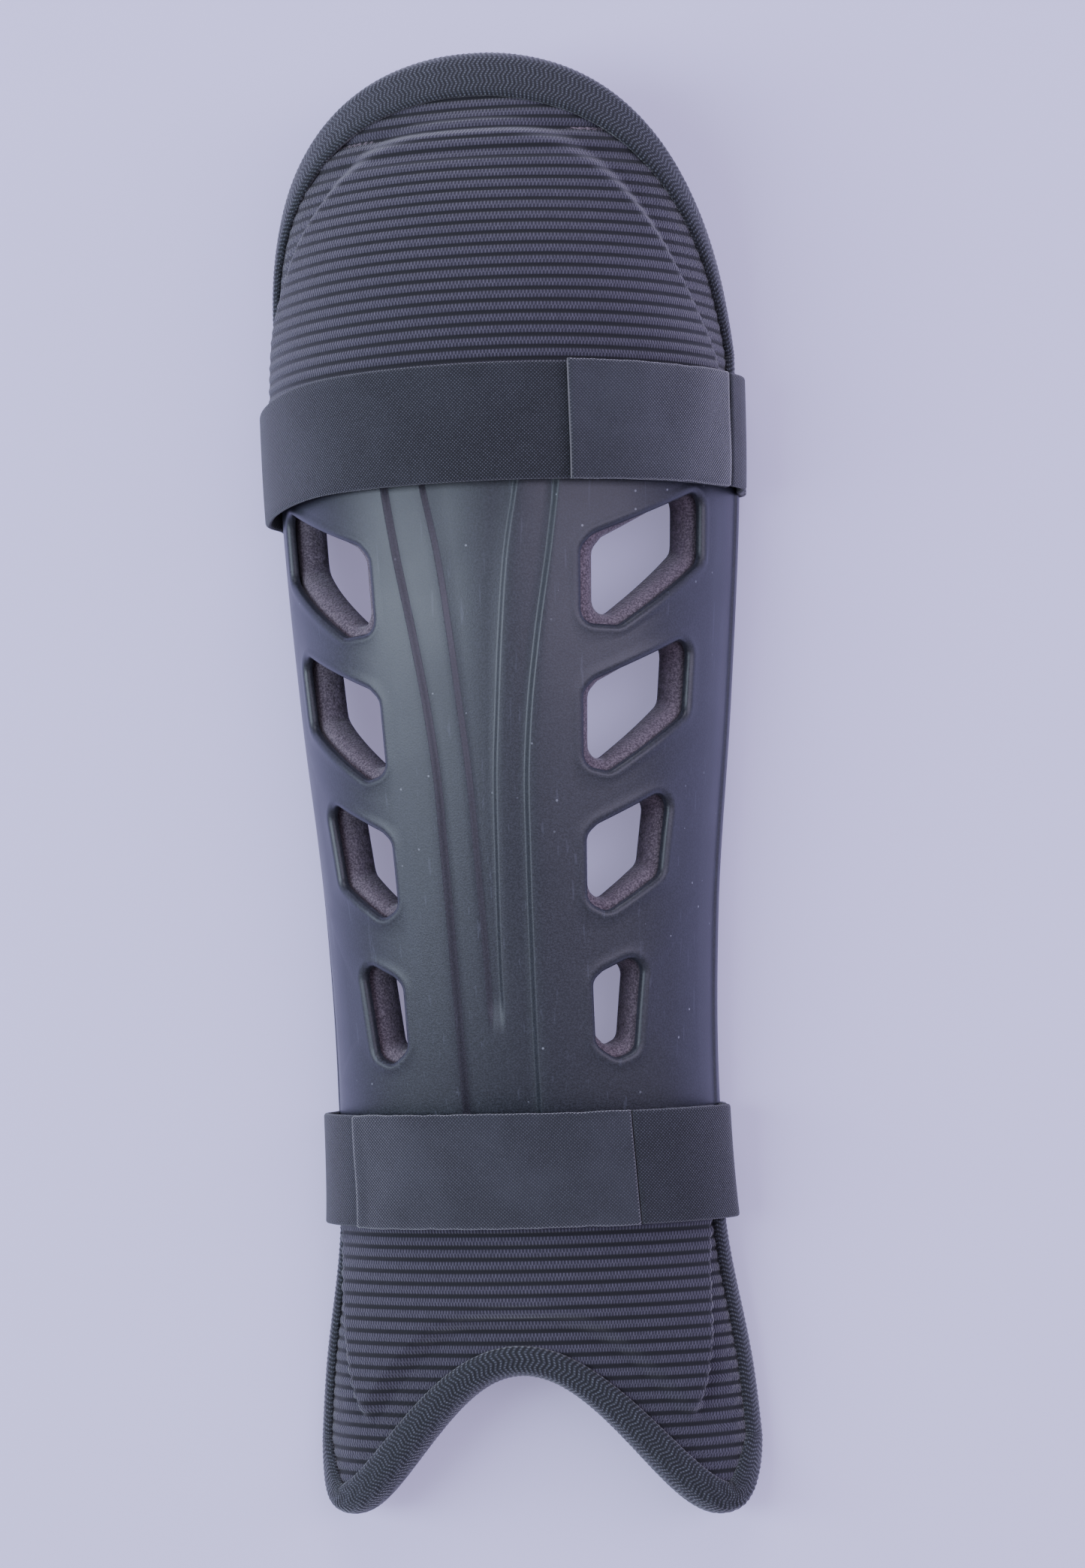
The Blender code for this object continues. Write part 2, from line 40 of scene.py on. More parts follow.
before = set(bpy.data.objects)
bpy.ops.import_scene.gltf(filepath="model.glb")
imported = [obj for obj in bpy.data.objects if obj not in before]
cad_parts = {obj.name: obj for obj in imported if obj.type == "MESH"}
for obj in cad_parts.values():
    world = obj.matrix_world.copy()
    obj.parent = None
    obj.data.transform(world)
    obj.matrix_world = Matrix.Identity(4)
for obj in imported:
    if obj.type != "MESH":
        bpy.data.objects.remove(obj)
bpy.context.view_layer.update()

# The guard's form, with the same values as its solids
GUARD_LENGTH = 320 * MM
HALF_WIDTH = 49.5 * MM
DEPTH = 51 * MM
RIM_BOW = 4 * MM
KNEE_DROP = 63.5 * MM
KNEE_ROUNDNESS = 2.2
ARCH_RISE = 31.7 * MM
LOBE_PLACE = 0.68
CLEARANCE = 0.3 * MM
SHELL_SEAT = 0.6 * MM
SHELL_WALL = 2.0 * MM
LINER_WALL = 6.5 * MM
LINER_EDGE_WALL = 4.0 * MM
LINER_BEVEL = 14 * MM
SHELL_KNEE_INSET = 17.5 * MM
SHELL_ANKLE_INSET = 14 * MM
KNEE_SHOULDERS = (0.76, 0.88)
ANKLE_SHOULDERS = (0.50, 0.80)
KNEE_SHOULDER = 16 * MM
ANKLE_SHOULDER = 50 * MM
RECESS_DEPTH = 1.5 * MM
GROOVE_DEPTH = 0.9 * MM
WALL_RUN = 1.3 * MM
GROOVE_END = 114 * MM
GROOVE_FADE = 8 * MM
COVER_WALL = 0.9 * MM
COVER_SLACK = 0.5 * MM
STRAP_WIDTH = 25 * MM
STRAP_WALL = 1.4 * MM
STRAP_DROP = 2.6 * MM
STRAP_CORNER = 6 * MM
STRAP_START = 0.78
STRAP_HUG = (0.84, 0.97)
UPPER_STRAP_PLACE = 236.7 * MM
LOWER_STRAP_PLACE = 76.3 * MM
UPPER_TAB = (0.76, 0.265)
LOWER_TAB = (0.40, -0.505)
RIB_RISE = 0.4 * MM

# The cloth's own pitches
KNEE_RIB = 2.5 * MM
ANKLE_RIB = 2.7 * MM

SECTIONS = np.array(
    [
        # along, width, depth, bow
        (0.000, 0.985, 0.400, 0.00),
        (0.095, 0.935, 0.410, 0.00),
        (0.190, 0.840, 0.455, 0.40),
        (0.280, 0.815, 0.570, 0.80),
        (0.410, 0.840, 0.705, 1.00),
        (0.560, 0.930, 0.845, 0.90),
        (0.720, 1.000, 0.950, 0.60),
        (0.840, 1.005, 1.000, 0.45),
        (1.000, 0.985, 0.660, 0.30),
    ]
)

RECESS = np.array(
    [
        # along, outer wall, inner wall
        (0.00, 0.110, 0.012),
        (0.29, 0.113, 0.012),
        (0.37, 0.118, 0.012),
        (0.45, 0.123, 0.022),
        (0.51, 0.128, 0.032),
        (0.55, 0.142, 0.046),
        (0.60, 0.170, 0.064),
        (0.66, 0.210, 0.092),
        (0.70, 0.232, 0.122),
        (1.00, 0.246, 0.150),
    ]
)

VENT_COLUMNS = (
    "spine", "spine_top_at", "top_at", "outer_top", "outer_top_at",
    "outer_foot", "outer_foot_at", "foot", "foot_at", "spine_foot_at",
)
VENTS = (
    (0.305, 0.656, 0.669, 0.725, 0.700, 0.730, 0.650, 0.420, 0.6045, 0.606),
    (0.310, 0.560, 0.572, 0.690, 0.600, 0.680, 0.546, 0.390, 0.5065, 0.511),
    (0.318, 0.464, 0.475, 0.625, 0.497, 0.595, 0.437, 0.385, 0.4120, 0.419),
    (0.328, 0.366, 0.376, 0.525, 0.386, 0.480, 0.318, 0.400, 0.3120, 0.322),
)
VENT_CORNER = 3.0 * MM
LEDGE = 4.0 * MM
LEDGE_SHARES = (1.0, 0.6, 0.4, 0.3)
FOOT_LEDGE = 2.5 * MM

# The lines between the vents' fields, from the ankle up: where along at the spine side, and at the rim side
FIELD_LINES = np.array([(94, 96), (122.5, 136), (153, 172.5), (184.5, 204.5), (214, 229.5)]) * MM
FIELD_SIDES = (0.268, 0.80)
FIELD_COUNTS = (26, 19, 20, 20, 20, 34)  # how many rows lie below, in and above the vents' fields
FIELD_COLUMNS = 28

BEAD_WIDTH = 2.6 * MM  # the raised bead along the shell's rims
BEAD_RISE = 0.55 * MM
BEAD_RUN = 0.8 * MM

# The bindings and the covers' tuck beneath them
KNEE_BAND = 9.5 * MM
KNEE_BAND_TAPER = 0.45  # how much narrower the knee binding is at the rims
ANKLE_BAND = 5.6 * MM
COVER_TUCK = 1.6 * MM
TAPE_RIB = 1.25 * MM
TAPE_WALL = 1.1 * MM
TAPE_ROUND = 1.2 * MM  # where the tape's legs start to turn round the edge
TAPE_LEG_LIFT = 1.5 * MM
KNEE_BAND_BACK = 7 * MM
ANKLE_BAND_BACK = 4.4 * MM
KNEE_BINDING_END = 233 * MM
ANKLE_BINDING_END = 65 * MM
UPPER_STRAP_DROOP = 3 * MM


# The form


def smooth_column(table, column, share):
    """A column of a table at any share: a cubic through its rows whose slopes come from the next rows."""
    place = table[:, 0]
    value = table[:, column]
    slope = np.gradient(value, place)
    row = np.clip(np.searchsorted(place, share) - 1, 0, len(place) - 2)
    span = place[row + 1] - place[row]
    t = np.clip((share - place[row]) / span, 0, 1)
    rise = value[row + 1] - value[row]
    curve = value[row] + rise * t * t * (3 - 2 * t)
    return curve + slope[row] * span * t * (1 - t) ** 2 + slope[row + 1] * span * t * t * (t - 1)


def smooth_step(low, high, value):
    """0 up to low and 1 from high, with a smooth rise between."""
    t = np.clip((value - low) / (high - low), 0, 1)
    return t * t * (3 - 2 * t)


def hump(value, centre, reach):
    """A smooth bump of height 1 at centre, which is gone at reach to either side."""
    return 1 - smooth_step(0, reach, np.abs(value - centre))


def rim_height(along):
    return RIM_BOW * smooth_column(SECTIONS, 3, along / GUARD_LENGTH)


def half_width(along):
    return HALF_WIDTH * smooth_column(SECTIONS, 1, along / GUARD_LENGTH)


def strap_floor():
    """The height of the underside of both straps' back spans, off the liner's rim plane."""
    places = np.array([UPPER_STRAP_PLACE, LOWER_STRAP_PLACE])
    edges = np.concatenate([places - STRAP_WIDTH / 2, places + STRAP_WIDTH / 2])
    return rim_height(edges).min() - STRAP_DROP - STRAP_WALL


def find_shift():
    """How far the frame stands from the liner's own: the shell gives the middle, the strap the rest."""
    shell_low, shell_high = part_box("shell")
    strap_low, strap_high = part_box("upper_strap")
    middle = (shell_low[0] + shell_high[0]) / 2
    return np.array(
        [middle, (strap_low[1] + strap_high[1]) / 2 - UPPER_STRAP_PLACE, strap_low[2] - strap_floor()]
    )


SHIFT = find_shift()


def skin(around, along, lift):
    """Points of the skin: a section is half an ellipse, x = (w + lift) sin a, z = rim + (h + lift) cos a."""
    around, along, lift = np.broadcast_arrays(around, along, lift)
    angle = around * np.pi / 2
    height = DEPTH * smooth_column(SECTIONS, 2, along / GUARD_LENGTH)
    x = (half_width(along) + lift) * np.sin(angle)
    z = rim_height(along) + (height + lift) * np.cos(angle)
    return np.stack([x, along, z], axis=-1) + SHIFT


def stretch_around(around, along):
    """The length of skin for each unit around, at a place."""
    angle = around * np.pi / 2
    height = DEPTH * smooth_column(SECTIONS, 2, along / GUARD_LENGTH)
    return np.pi / 2 * np.sqrt((half_width(along) * np.cos(angle)) ** 2 + (height * np.sin(angle)) ** 2)


def knee_edge(around):
    """How far along the padding's edge is at the knee end: a rounded end whose drop is a power of around."""
    return GUARD_LENGTH - KNEE_DROP * np.abs(around) ** KNEE_ROUNDNESS


def ankle_edge(around):
    """How far along the padding's edge is at the ankle: an arch, cosine squared, between two lobes."""
    return ARCH_RISE * np.cos(np.pi / 2 * np.abs(around) / LOBE_PLACE) ** 2


def inset_edge(edge, around, inset):
    """An edge moved into the padding by inset, measured square to it."""
    step = 0.01
    slope = (edge(around + step) - edge(around - step)) / (2 * step)
    slant = np.sqrt(1 + (slope / stretch_around(around, edge(around))) ** 2)
    side = -1 if edge is knee_edge else 1
    return edge(around) + side * inset * slant


def edge_distance(around, along):
    """About how far a place is inside the padding's edge."""
    reach = 1 * MM
    knee_unit = knee_edge(around) - inset_edge(knee_edge, around, reach)
    ankle_unit = inset_edge(ankle_edge, around, reach) - ankle_edge(around)
    knee = (knee_edge(around) - along) * reach / knee_unit
    ankle = (along - ankle_edge(around)) * reach / ankle_unit
    rim = (1 - np.abs(around)) * stretch_around(1.0, along)
    return np.minimum(np.minimum(knee, ankle), rim)


def recess(around, along):
    """How deep the stepped recess is: a wide step with a narrow groove inside it."""
    share = along / GUARD_LENGTH
    run = WALL_RUN / stretch_around(0.0, along)
    outer = smooth_column(RECESS, 1, share)
    inner = smooth_column(RECESS, 2, share)
    wide = 1 - smooth_step(outer, outer + run, np.abs(around))
    narrow = 1 - smooth_step(inner, inner + run, np.abs(around))
    narrow = narrow * smooth_step(GROOVE_END - GROOVE_FADE, GROOVE_END, along)
    return RECESS_DEPTH * wide + GROOVE_DEPTH * narrow


def shell_knee_edge(around):
    shoulder = KNEE_SHOULDER * smooth_step(*KNEE_SHOULDERS, np.abs(around))
    return np.maximum(inset_edge(knee_edge, around, SHELL_KNEE_INSET) - shoulder, UPPER_STRAP_PLACE)


def shell_ankle_edge(around):
    shoulder = ANKLE_SHOULDER * smooth_step(*ANKLE_SHOULDERS, np.abs(around))
    return np.minimum(inset_edge(ankle_edge, around, SHELL_ANKLE_INSET) + shoulder, LOWER_STRAP_PLACE)


# Meshes


def put(name, points, faces, corners=None, attributes=None, material=None):
    """A smooth mesh object from arrays: points, faces of four, and each face corner's place on the cloth."""
    mesh = bpy.data.meshes.new(name)
    mesh.from_pydata(points.reshape(-1, 3).tolist(), [], faces.reshape(-1, faces.shape[-1]).tolist())
    if corners is not None:
        layer = mesh.uv_layers.new(name="cloth")
        layer.data.foreach_set("uv", corners.reshape(-1).astype(np.float32))
    for key, values in (attributes or {}).items():
        layer = mesh.attributes.new(key, "FLOAT", "POINT")
        layer.data.foreach_set("value", values.reshape(-1).astype(np.float32))
    mesh.polygons.foreach_set("use_smooth", np.ones(len(mesh.polygons), dtype=bool))
    mesh.update()
    item = bpy.data.objects.new(name, mesh)
    bpy.context.scene.collection.objects.link(item)
    if material is not None:
        mesh.materials.append(material)
    return item


def grid_faces(rows, columns, wrap_columns=False):
    """Faces of four over a grid of rows and columns, whose columns may close on themselves."""
    index = np.arange(rows * columns).reshape(rows, columns)
    if wrap_columns:
        index = np.concatenate([index, index[:, :1]], axis=1)
    return np.stack([index[:-1, :-1], index[:-1, 1:], index[1:, 1:], index[1:, :-1]], axis=-1)


def grid_corners(u, v):
    """The cloth places of the same faces' corners; u and v have one more column where the grid closes."""
    place = np.stack([u, v], axis=-1)
    return np.stack([place[:-1, :-1], place[:-1, 1:], place[1:, 1:], place[1:, :-1]], axis=-2)


def belong(item, node):
    """Puts a piece on the one body, in the place of its solid, and hides that solid."""
    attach(item, "root")
    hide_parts(node)


def tidy(item, merge=0.0):
    """Turns every face outwards, after points closer than merge are joined."""
    solid = bmesh.new()
    solid.from_mesh(item.data)
    if merge:
        bmesh.ops.remove_doubles(solid, verts=solid.verts, dist=merge)
    bmesh.ops.recalc_face_normals(solid, faces=solid.faces)
    solid.to_mesh(item.data)
    solid.free()
    item.data.update()


def running(points, axis):
    """The distance run along one axis of a grid of points, from 0 at its start."""
    step = np.linalg.norm(np.diff(points, axis=axis), axis=-1)
    start = np.zeros_like(np.take(step, [0], axis=axis))
    return np.concatenate([start, np.cumsum(step, axis=axis)], axis=axis)


# Materials


class Finish:
    """A material's nodes, added one by one."""

    def __init__(self, name, roughness, sheen=0.0, specular=0.5):
        self.material = bpy.data.materials.new(name)
        self.material.use_nodes = True
        self.tree = self.material.node_tree
        self.shader = self.tree.nodes["Principled BSDF"]
        self.shader.inputs["Roughness"].default_value = roughness
        self.shader.inputs["Sheen Weight"].default_value = sheen
        self.shader.inputs["Sheen Roughness"].default_value = 0.5
        self.shader.inputs["Specular IOR Level"].default_value = specular
        self.coordinates = self.tree.nodes.new("ShaderNodeTexCoord")

    def node(self, kind, **inputs):
        item = self.tree.nodes.new(kind)
        for key, value in inputs.items():
            self.set(item.inputs[key.replace("_", " ")], value)
        return item

    def set(self, socket, value):
        if isinstance(value, bpy.types.NodeSocket):
            self.tree.links.new(value, socket)
        else:
            socket.default_value = value

    def math(self, operation, a, b=0.0, c=0.0):
        item = self.tree.nodes.new("ShaderNodeMath")
        item.operation = operation
        for socket, value in zip(item.inputs, (a, b, c)):
            self.set(socket, value)
        return item.outputs[0]

    def place(self, scale=(1, 1, 1), cloth=False):
        source = self.coordinates.outputs["UV" if cloth else "Object"]
        item = self.node("ShaderNodeMapping", Vector=source, Scale=scale)
        return item.outputs[0]

    def split(self, vector):
        item = self.node("ShaderNodeSeparateXYZ", Vector=vector)
        return item.outputs

    def noise(self, vector, scale, detail=2.0, roughness=0.5):
        item = self.node("ShaderNodeTexNoise", Vector=vector, Scale=scale, Detail=detail, Roughness=roughness)
        return item.outputs["Fac"]

    def specks(self, vector, scale, size):
        """1 in small dots, one to a cell, and 0 elsewhere."""
        item = self.node("ShaderNodeTexVoronoi", Vector=vector, Scale=scale)
        return self.math("LESS_THAN", item.outputs["Distance"], size)

    def ramp(self, value, low, high, start=0.0, end=1.0):
        item = self.node("ShaderNodeMapRange", Value=value)
        item.interpolation_type = "SMOOTHSTEP"
        for key, number in (("From Min", low), ("From Max", high), ("To Min", start), ("To Max", end)):
            self.set(item.inputs[key], number)
        return item.outputs[0]

    def wave(self, value, pitch, shift=0.0):
        """A wave of height 0 to 1 along a distance, with its crest at the middle of each pitch."""
        turns = self.math("MULTIPLY", value, 2 * np.pi / pitch)
        turned = self.math("ADD", turns, shift)
        return self.math("MULTIPLY_ADD", self.math("COSINE", turned), -0.5, 0.5)

    def blend(self, factor, first, second):
        item = self.tree.nodes.new("ShaderNodeMix")
        item.data_type = "RGBA"
        sockets = [socket for socket in item.inputs if socket.type == "RGBA"]
        self.set(item.inputs[0], factor)
        for socket, value in zip(sockets, (first, second)):
            self.set(socket, (*value, 1) if isinstance(value, tuple) else value)
        return next(socket for socket in item.outputs if socket.type == "RGBA")

    def colour(self, value):
        self.set(self.shader.inputs["Base Color"], value)

    def bumps(self, *layers):
        """Bump nodes in a row, each a height, its depth in metres and its strength."""
        normal = None
        for height, depth, strength in layers:
            item = self.node("ShaderNodeBump", Height=height, Distance=depth, Strength=strength)
            if normal is not None:
                self.set(item.inputs["Normal"], normal)
            normal = item.outputs[0]
        self.set(self.shader.inputs["Normal"], normal)


def moulded_plastic():
    """Matte black plastic with a spark-eroded grain, dust, rub marks and long faint scratches."""
    finish = Finish("moulded_plastic", 0.42, specular=0.55)
    place = finish.place()
    grain = finish.noise(place, 2600, 3, 0.6)
    cloud = finish.noise(place, 22, 3, 0.6)
    long = finish.place((900, 16, 900))
    hairline = finish.ramp(finish.noise(long, 1.0, 2, 0.5), 0.66, 0.72)
    rub = finish.ramp(finish.noise(finish.place((40, 9, 40)), 1.0, 3, 0.6), 0.55, 0.8)
    dust = finish.math("MULTIPLY", finish.specks(place, 210, 0.055), finish.ramp(cloud, 0.42, 0.6))
    base = finish.blend(finish.ramp(grain, 0.35, 0.7), (0.013, 0.0145, 0.0185), (0.030, 0.033, 0.042))
    base = finish.blend(finish.math("MULTIPLY", rub, 0.35), base, (0.045, 0.052, 0.068))
    base = finish.blend(finish.math("MULTIPLY", hairline, 0.16), base, (0.12, 0.13, 0.17))
    base = finish.blend(finish.math("MULTIPLY", dust, 0.55), base, (0.30, 0.32, 0.36))
    finish.colour(base)
    rough = finish.math("MULTIPLY_ADD", grain, 0.16, finish.ramp(cloud, 0.3, 0.7, 0.30, 0.38))
    finish.set(finish.shader.inputs["Roughness"], rough)
    finish.bumps((grain, 0.00006, 0.5), (cloud, 0.0006, 0.10))
    return finish.material


def pressed_foam():
    """Mauve-grey closed-cell foam, sanded on its cut faces, with a dark fleece on its back."""
    finish = Finish("pressed_foam", 0.88, sheen=0.25, specular=0.25)
    place = finish.place()
    grain = finish.noise(place, 2300, 2, 0.7)
    cells = finish.node("ShaderNodeTexVoronoi", Vector=place, Scale=1900.0).outputs["Distance"]
    pile = finish.noise(place, 700, 4, 0.75)
    back = finish.node("ShaderNodeAttribute")
    back.attribute_name = "fleece"
    back = back.outputs["Fac"]
    foam = finish.blend(finish.ramp(grain, 0.35, 0.7), (0.075, 0.058, 0.072), (0.21, 0.172, 0.195))
    fleece = finish.blend(finish.ramp(pile, 0.35, 0.7), (0.016, 0.012, 0.020), (0.075, 0.058, 0.085))
    finish.colour(finish.blend(back, foam, fleece))
    mixed = finish.math("MULTIPLY_ADD", pile, finish.math("MULTIPLY", back, 3.0), cells)
    finish.bumps((mixed, 0.00022, 0.7))
    return finish.material


def ribbed_knit(name, pitch):
    """Black elastic knit: a rib to each pitch along, with painted shade in the troughs between ribs and
    painted highlights on the fine stitches that stand on the crests.
    """
    finish = Finish(name, 0.78, sheen=0.35, specular=0.3)
    across, along, _ = finish.split(finish.place(cloth=True))
    fray = finish.noise(finish.place(), 900, 3, 0.7)
    wander = finish.math("MULTIPLY_ADD", finish.noise(finish.place(), 260, 2), 0.0003, across)
    crest_shading = finish.wave(along, pitch)
    stitch = finish.wave(wander, 0.76 * MM)
    second = finish.wave(finish.math("ADD", wander, 0.38 * MM), 0.76 * MM)
    upper = finish.ramp(finish.wave(along, pitch, 0.9), 0.45, 0.95)
    lower = finish.ramp(finish.wave(along, pitch, -0.9), 0.45, 0.95)
    loops = finish.math(
        "MAXIMUM", finish.math("MULTIPLY", upper, stitch), finish.math("MULTIPLY", lower, second)
    )
    # Painted highlight: the stitch loops on the rib crests are lightened as if they caught the light.
    light = finish.math("MULTIPLY", finish.ramp(loops, 0.25, 0.95), finish.ramp(fray, 0.25, 0.7, 0.45, 1.0))
    # Painted shade and highlight: the troughs between the ribs are darkened and the crests lightened, as
    # light would fall on them.
    base = finish.blend(finish.ramp(crest_shading, 0.05, 0.55), (0.0035, 0.0035, 0.006), (0.020, 0.018, 0.030))
    # The last colour is the painted highlight of the stitches.
    finish.colour(finish.blend(light, base, (0.088, 0.082, 0.112)))
    finish.bumps((loops, 0.00022, 0.8), (fray, 0.00008, 0.5))
    return finish.material


def edge_tape():
    """Black folded tape whose ribs run across it, with painted shade between the ribs and painted highlights
    on the threads at their crests.
    """
    finish = Finish("edge_tape", 0.7, sheen=0.3, specular=0.35)
    across, along, _ = finish.split(finish.place(cloth=True))
    fray = finish.noise(finish.place(), 1100, 3, 0.7)
    slant = finish.math("MULTIPLY_ADD", finish.math("PINGPONG", across, 1.6 * MM), 0.45, along)
    rib = finish.wave(slant, 1.0 * MM)
    thread = finish.wave(across, 0.55 * MM)
    loops = finish.math("MULTIPLY", rib, finish.math("MULTIPLY_ADD", thread, 0.55, 0.45))
    # Painted shade and highlight: the tape is darker between its ribs and lighter on their crests.
    base = finish.blend(finish.ramp(rib, 0.1, 0.7), (0.004, 0.005, 0.007), (0.018, 0.020, 0.027))
    # Painted highlight: the threads on the rib crests are lightened as if they shone.
    light = finish.math("MULTIPLY", finish.ramp(loops, 0.45, 0.95), finish.ramp(fray, 0.3, 0.7, 0.25, 1.0))
    finish.colour(finish.blend(light, base, (0.115, 0.13, 0.15)))
    finish.bumps((loops, 0.0002, 0.8), (fray, 0.00008, 0.4))
    return finish.material


def webbing(name, dark, crest_highlight, brushed=0.0):
    """Woven webbing: crests of warp and weft take turns over a fine chequer and carry painted highlights, and
    brushing softens them.
    """
    finish = Finish(name, 0.8, sheen=0.3 + 0.3 * brushed, specular=0.3)
    across, along, _ = finish.split(finish.place(cloth=True))
    fray = finish.noise(finish.place(), 1300, 3, 0.75)
    patch = finish.noise(finish.place(), 55, 3, 0.6)
    wander = finish.math("MULTIPLY_ADD", finish.noise(finish.place(), 300, 2), 0.00025, along)
    turned = finish.math("MULTIPLY", wander, 2 * np.pi / (0.76 * MM))
    crossed = finish.math("MULTIPLY", across, 2 * np.pi / (0.76 * MM))
    chequer = finish.math("MULTIPLY", finish.math("SINE", turned), finish.math("SINE", crossed))
    weave = finish.math("MULTIPLY_ADD", chequer, 0.5, 0.5)
    # Painted highlight: the weave's crests are lightened towards the highlight colour, as if they caught the
    # light.
    light = finish.math("MULTIPLY", finish.ramp(weave, 0.5, 0.95), finish.ramp(fray, 0.28, 0.72, 0.3, 1.0))
    haze = finish.math("MULTIPLY", finish.ramp(patch, 0.35, 0.7), 0.25 + 0.35 * brushed)
    base = finish.blend(haze, dark, tuple(0.45 * d + 0.35 * b for d, b in zip(dark, crest_highlight)))
    finish.colour(finish.blend(light, base, crest_highlight))
    finish.bumps((weave, 0.00022, 0.75), (fray, 0.0001, 0.5 + 0.4 * brushed))
    return finish.material


def studio_floor():
    """A pale lilac light table: it glows a little, so that it stays pale beneath the guard."""
    finish = Finish("studio_floor", 0.6, specular=0.2)
    cloud = finish.noise(finish.place(), 0.9, 1, 0.4)
    tone = finish.blend(cloud, (0.52, 0.47, 0.80), (0.60, 0.57, 0.82))
    finish.colour(tone)
    finish.set(finish.shader.inputs["Emission Color"], tone)
    finish.shader.inputs["Emission Strength"].default_value = 0.45
    return finish.material


PLASTIC = moulded_plastic()
FOAM = pressed_foam()
KNEE_KNIT = ribbed_knit("knee_rib_knit", KNEE_RIB)
ANKLE_KNIT = ribbed_knit("ankle_rib_knit", ANKLE_RIB)
TAPE = edge_tape()
# Each webbing's second colour is the painted highlight on its weave's crests.
WEBBING = webbing("elastic_webbing", (0.006, 0.0065, 0.009), (0.085, 0.092, 0.112))
BRUSHED = webbing("brushed_tab", (0.010, 0.011, 0.016), (0.070, 0.076, 0.095), brushed=1.0)


# Shell and liner


def rounded(corners, radius, count):
    """A closed outline with corners turned by arcs: the corners' core points, and the way out at each step.

    The core is the outline of straight edges moved in by radius. Each corner turns the way out from one
    edge's to the next one's, so a point of the outline is core + radius * way, and an offset adds to radius.
    """
    ahead = np.roll(corners, -1, axis=0) - corners
    ahead /= np.linalg.norm(ahead, axis=1)[:, None]
    area = np.sum(corners[:, 0] * np.roll(corners[:, 1], -1) - corners[:, 1] * np.roll(corners[:, 0], -1))
    way = np.stack([ahead[:, 1], -ahead[:, 0]], axis=1) * np.sign(area)
    before = np.roll(way, 1, axis=0)
    middle = before + way
    core = corners - radius * middle / np.sum(middle * way, axis=1)[:, None]
    share = np.linspace(0, 1, 9)[None, :, None]
    fan = before[:, None] * (1 - share) + way[:, None] * share
    fan /= np.linalg.norm(fan, axis=-1)[..., None]
    cores = np.repeat(core[:, None], 9, axis=1).reshape(-1, 2)
    ways = fan.reshape(-1, 2)
    line = cores + radius * ways
    run = running(np.vstack([line, line[:1]]), 0)
    at = np.linspace(0, run[-1], count, endpoint=False)

    def sample(values):
        closed = np.vstack([values, values[:1]])
        return np.stack([np.interp(at, run, closed[:, k]) for k in range(2)], axis=1)

    ways = sample(ways)
    return sample(cores), ways / np.linalg.norm(ways, axis=1)[:, None]


def vent_corners(vent, ledge, foot_ledge):
    """The corners of a vent on the right-hand side, in metres of skin from the spine and along."""
    size = dict(zip(VENT_COLUMNS, vent))
    girth = stretch_around(size["spine"], GUARD_LENGTH * size["foot_at"])
    spine = size["spine"] + ledge / girth
    rise = foot_ledge / GUARD_LENGTH
    corners = np.array(
        [
            (spine, size["spine_top_at"]),
            (spine + 0.035, size["top_at"] - 0.004),
            (size["outer_top"], size["outer_top_at"]),
            (size["outer_foot"], size["outer_foot_at"] + rise),
            (max(size["foot"], spine + 0.05), size["foot_at"] + rise),
            (spine, size["spine_foot_at"] + rise),
        ]
    )
    return corners * (girth, GUARD_LENGTH), girth


def field_rows(counts):
    """For each row line of the grid, its place along at the spine side and at the rim side, zone by zone."""
    zones = []
    for k in range(len(FIELD_LINES) - 1):
        share = np.linspace(0, 1, counts[1 + k], endpoint=False)[:, None]
        zones.append(FIELD_LINES[k] * (1 - share) + FIELD_LINES[k + 1] * share)
    return np.concatenate(zones + [FIELD_LINES[-1:]])


def slanted(line, around):
    """A row line at each place around: level near the spine and the rims, and slanted between the two."""
    share = np.clip((np.abs(around) - FIELD_SIDES[0]) / (FIELD_SIDES[1] - FIELD_SIDES[0]), 0, 1)
    return line[..., :1] * (1 - share) + line[..., 1:] * share


def vented_grid(low_edge, high_edge, column_lines, counts):
    """Places around and along on the right-hand half and its mirror: rows follow the vents' fields."""
    middle = field_rows(counts)
    around = column_lines(middle[:, 0])
    along = slanted(middle, around)
    low_share = np.linspace(0, 1, counts[0], endpoint=False)[:, None]
    high_share = np.linspace(1, 0, counts[-1], endpoint=False)[::-1][:, None]
    first = np.repeat(around[:1], counts[0], axis=0)
    last = np.repeat(around[-1:], counts[-1], axis=0)
    for _ in range(3):
        low = low_edge(first[:1]) * (1 - low_share) + along[:1] * low_share
        high = along[-1:] * (1 - high_share) + high_edge(last[:1]) * high_share
        first = column_lines(low[:, 0])
        last = column_lines(high[:, 0])
        low = low_edge(first) * (1 - low_share) + slanted(middle[:1], first) * low_share
        high = slanted(middle[-1:], last) * (1 - high_share) + high_edge(last) * high_share
    around = np.concatenate([first, around, last])
    along = np.concatenate([low, along, high])
    return (
        np.concatenate([-around[:, :0:-1], around], axis=1),
        np.concatenate([along[:, :0:-1], along], axis=1),
    )


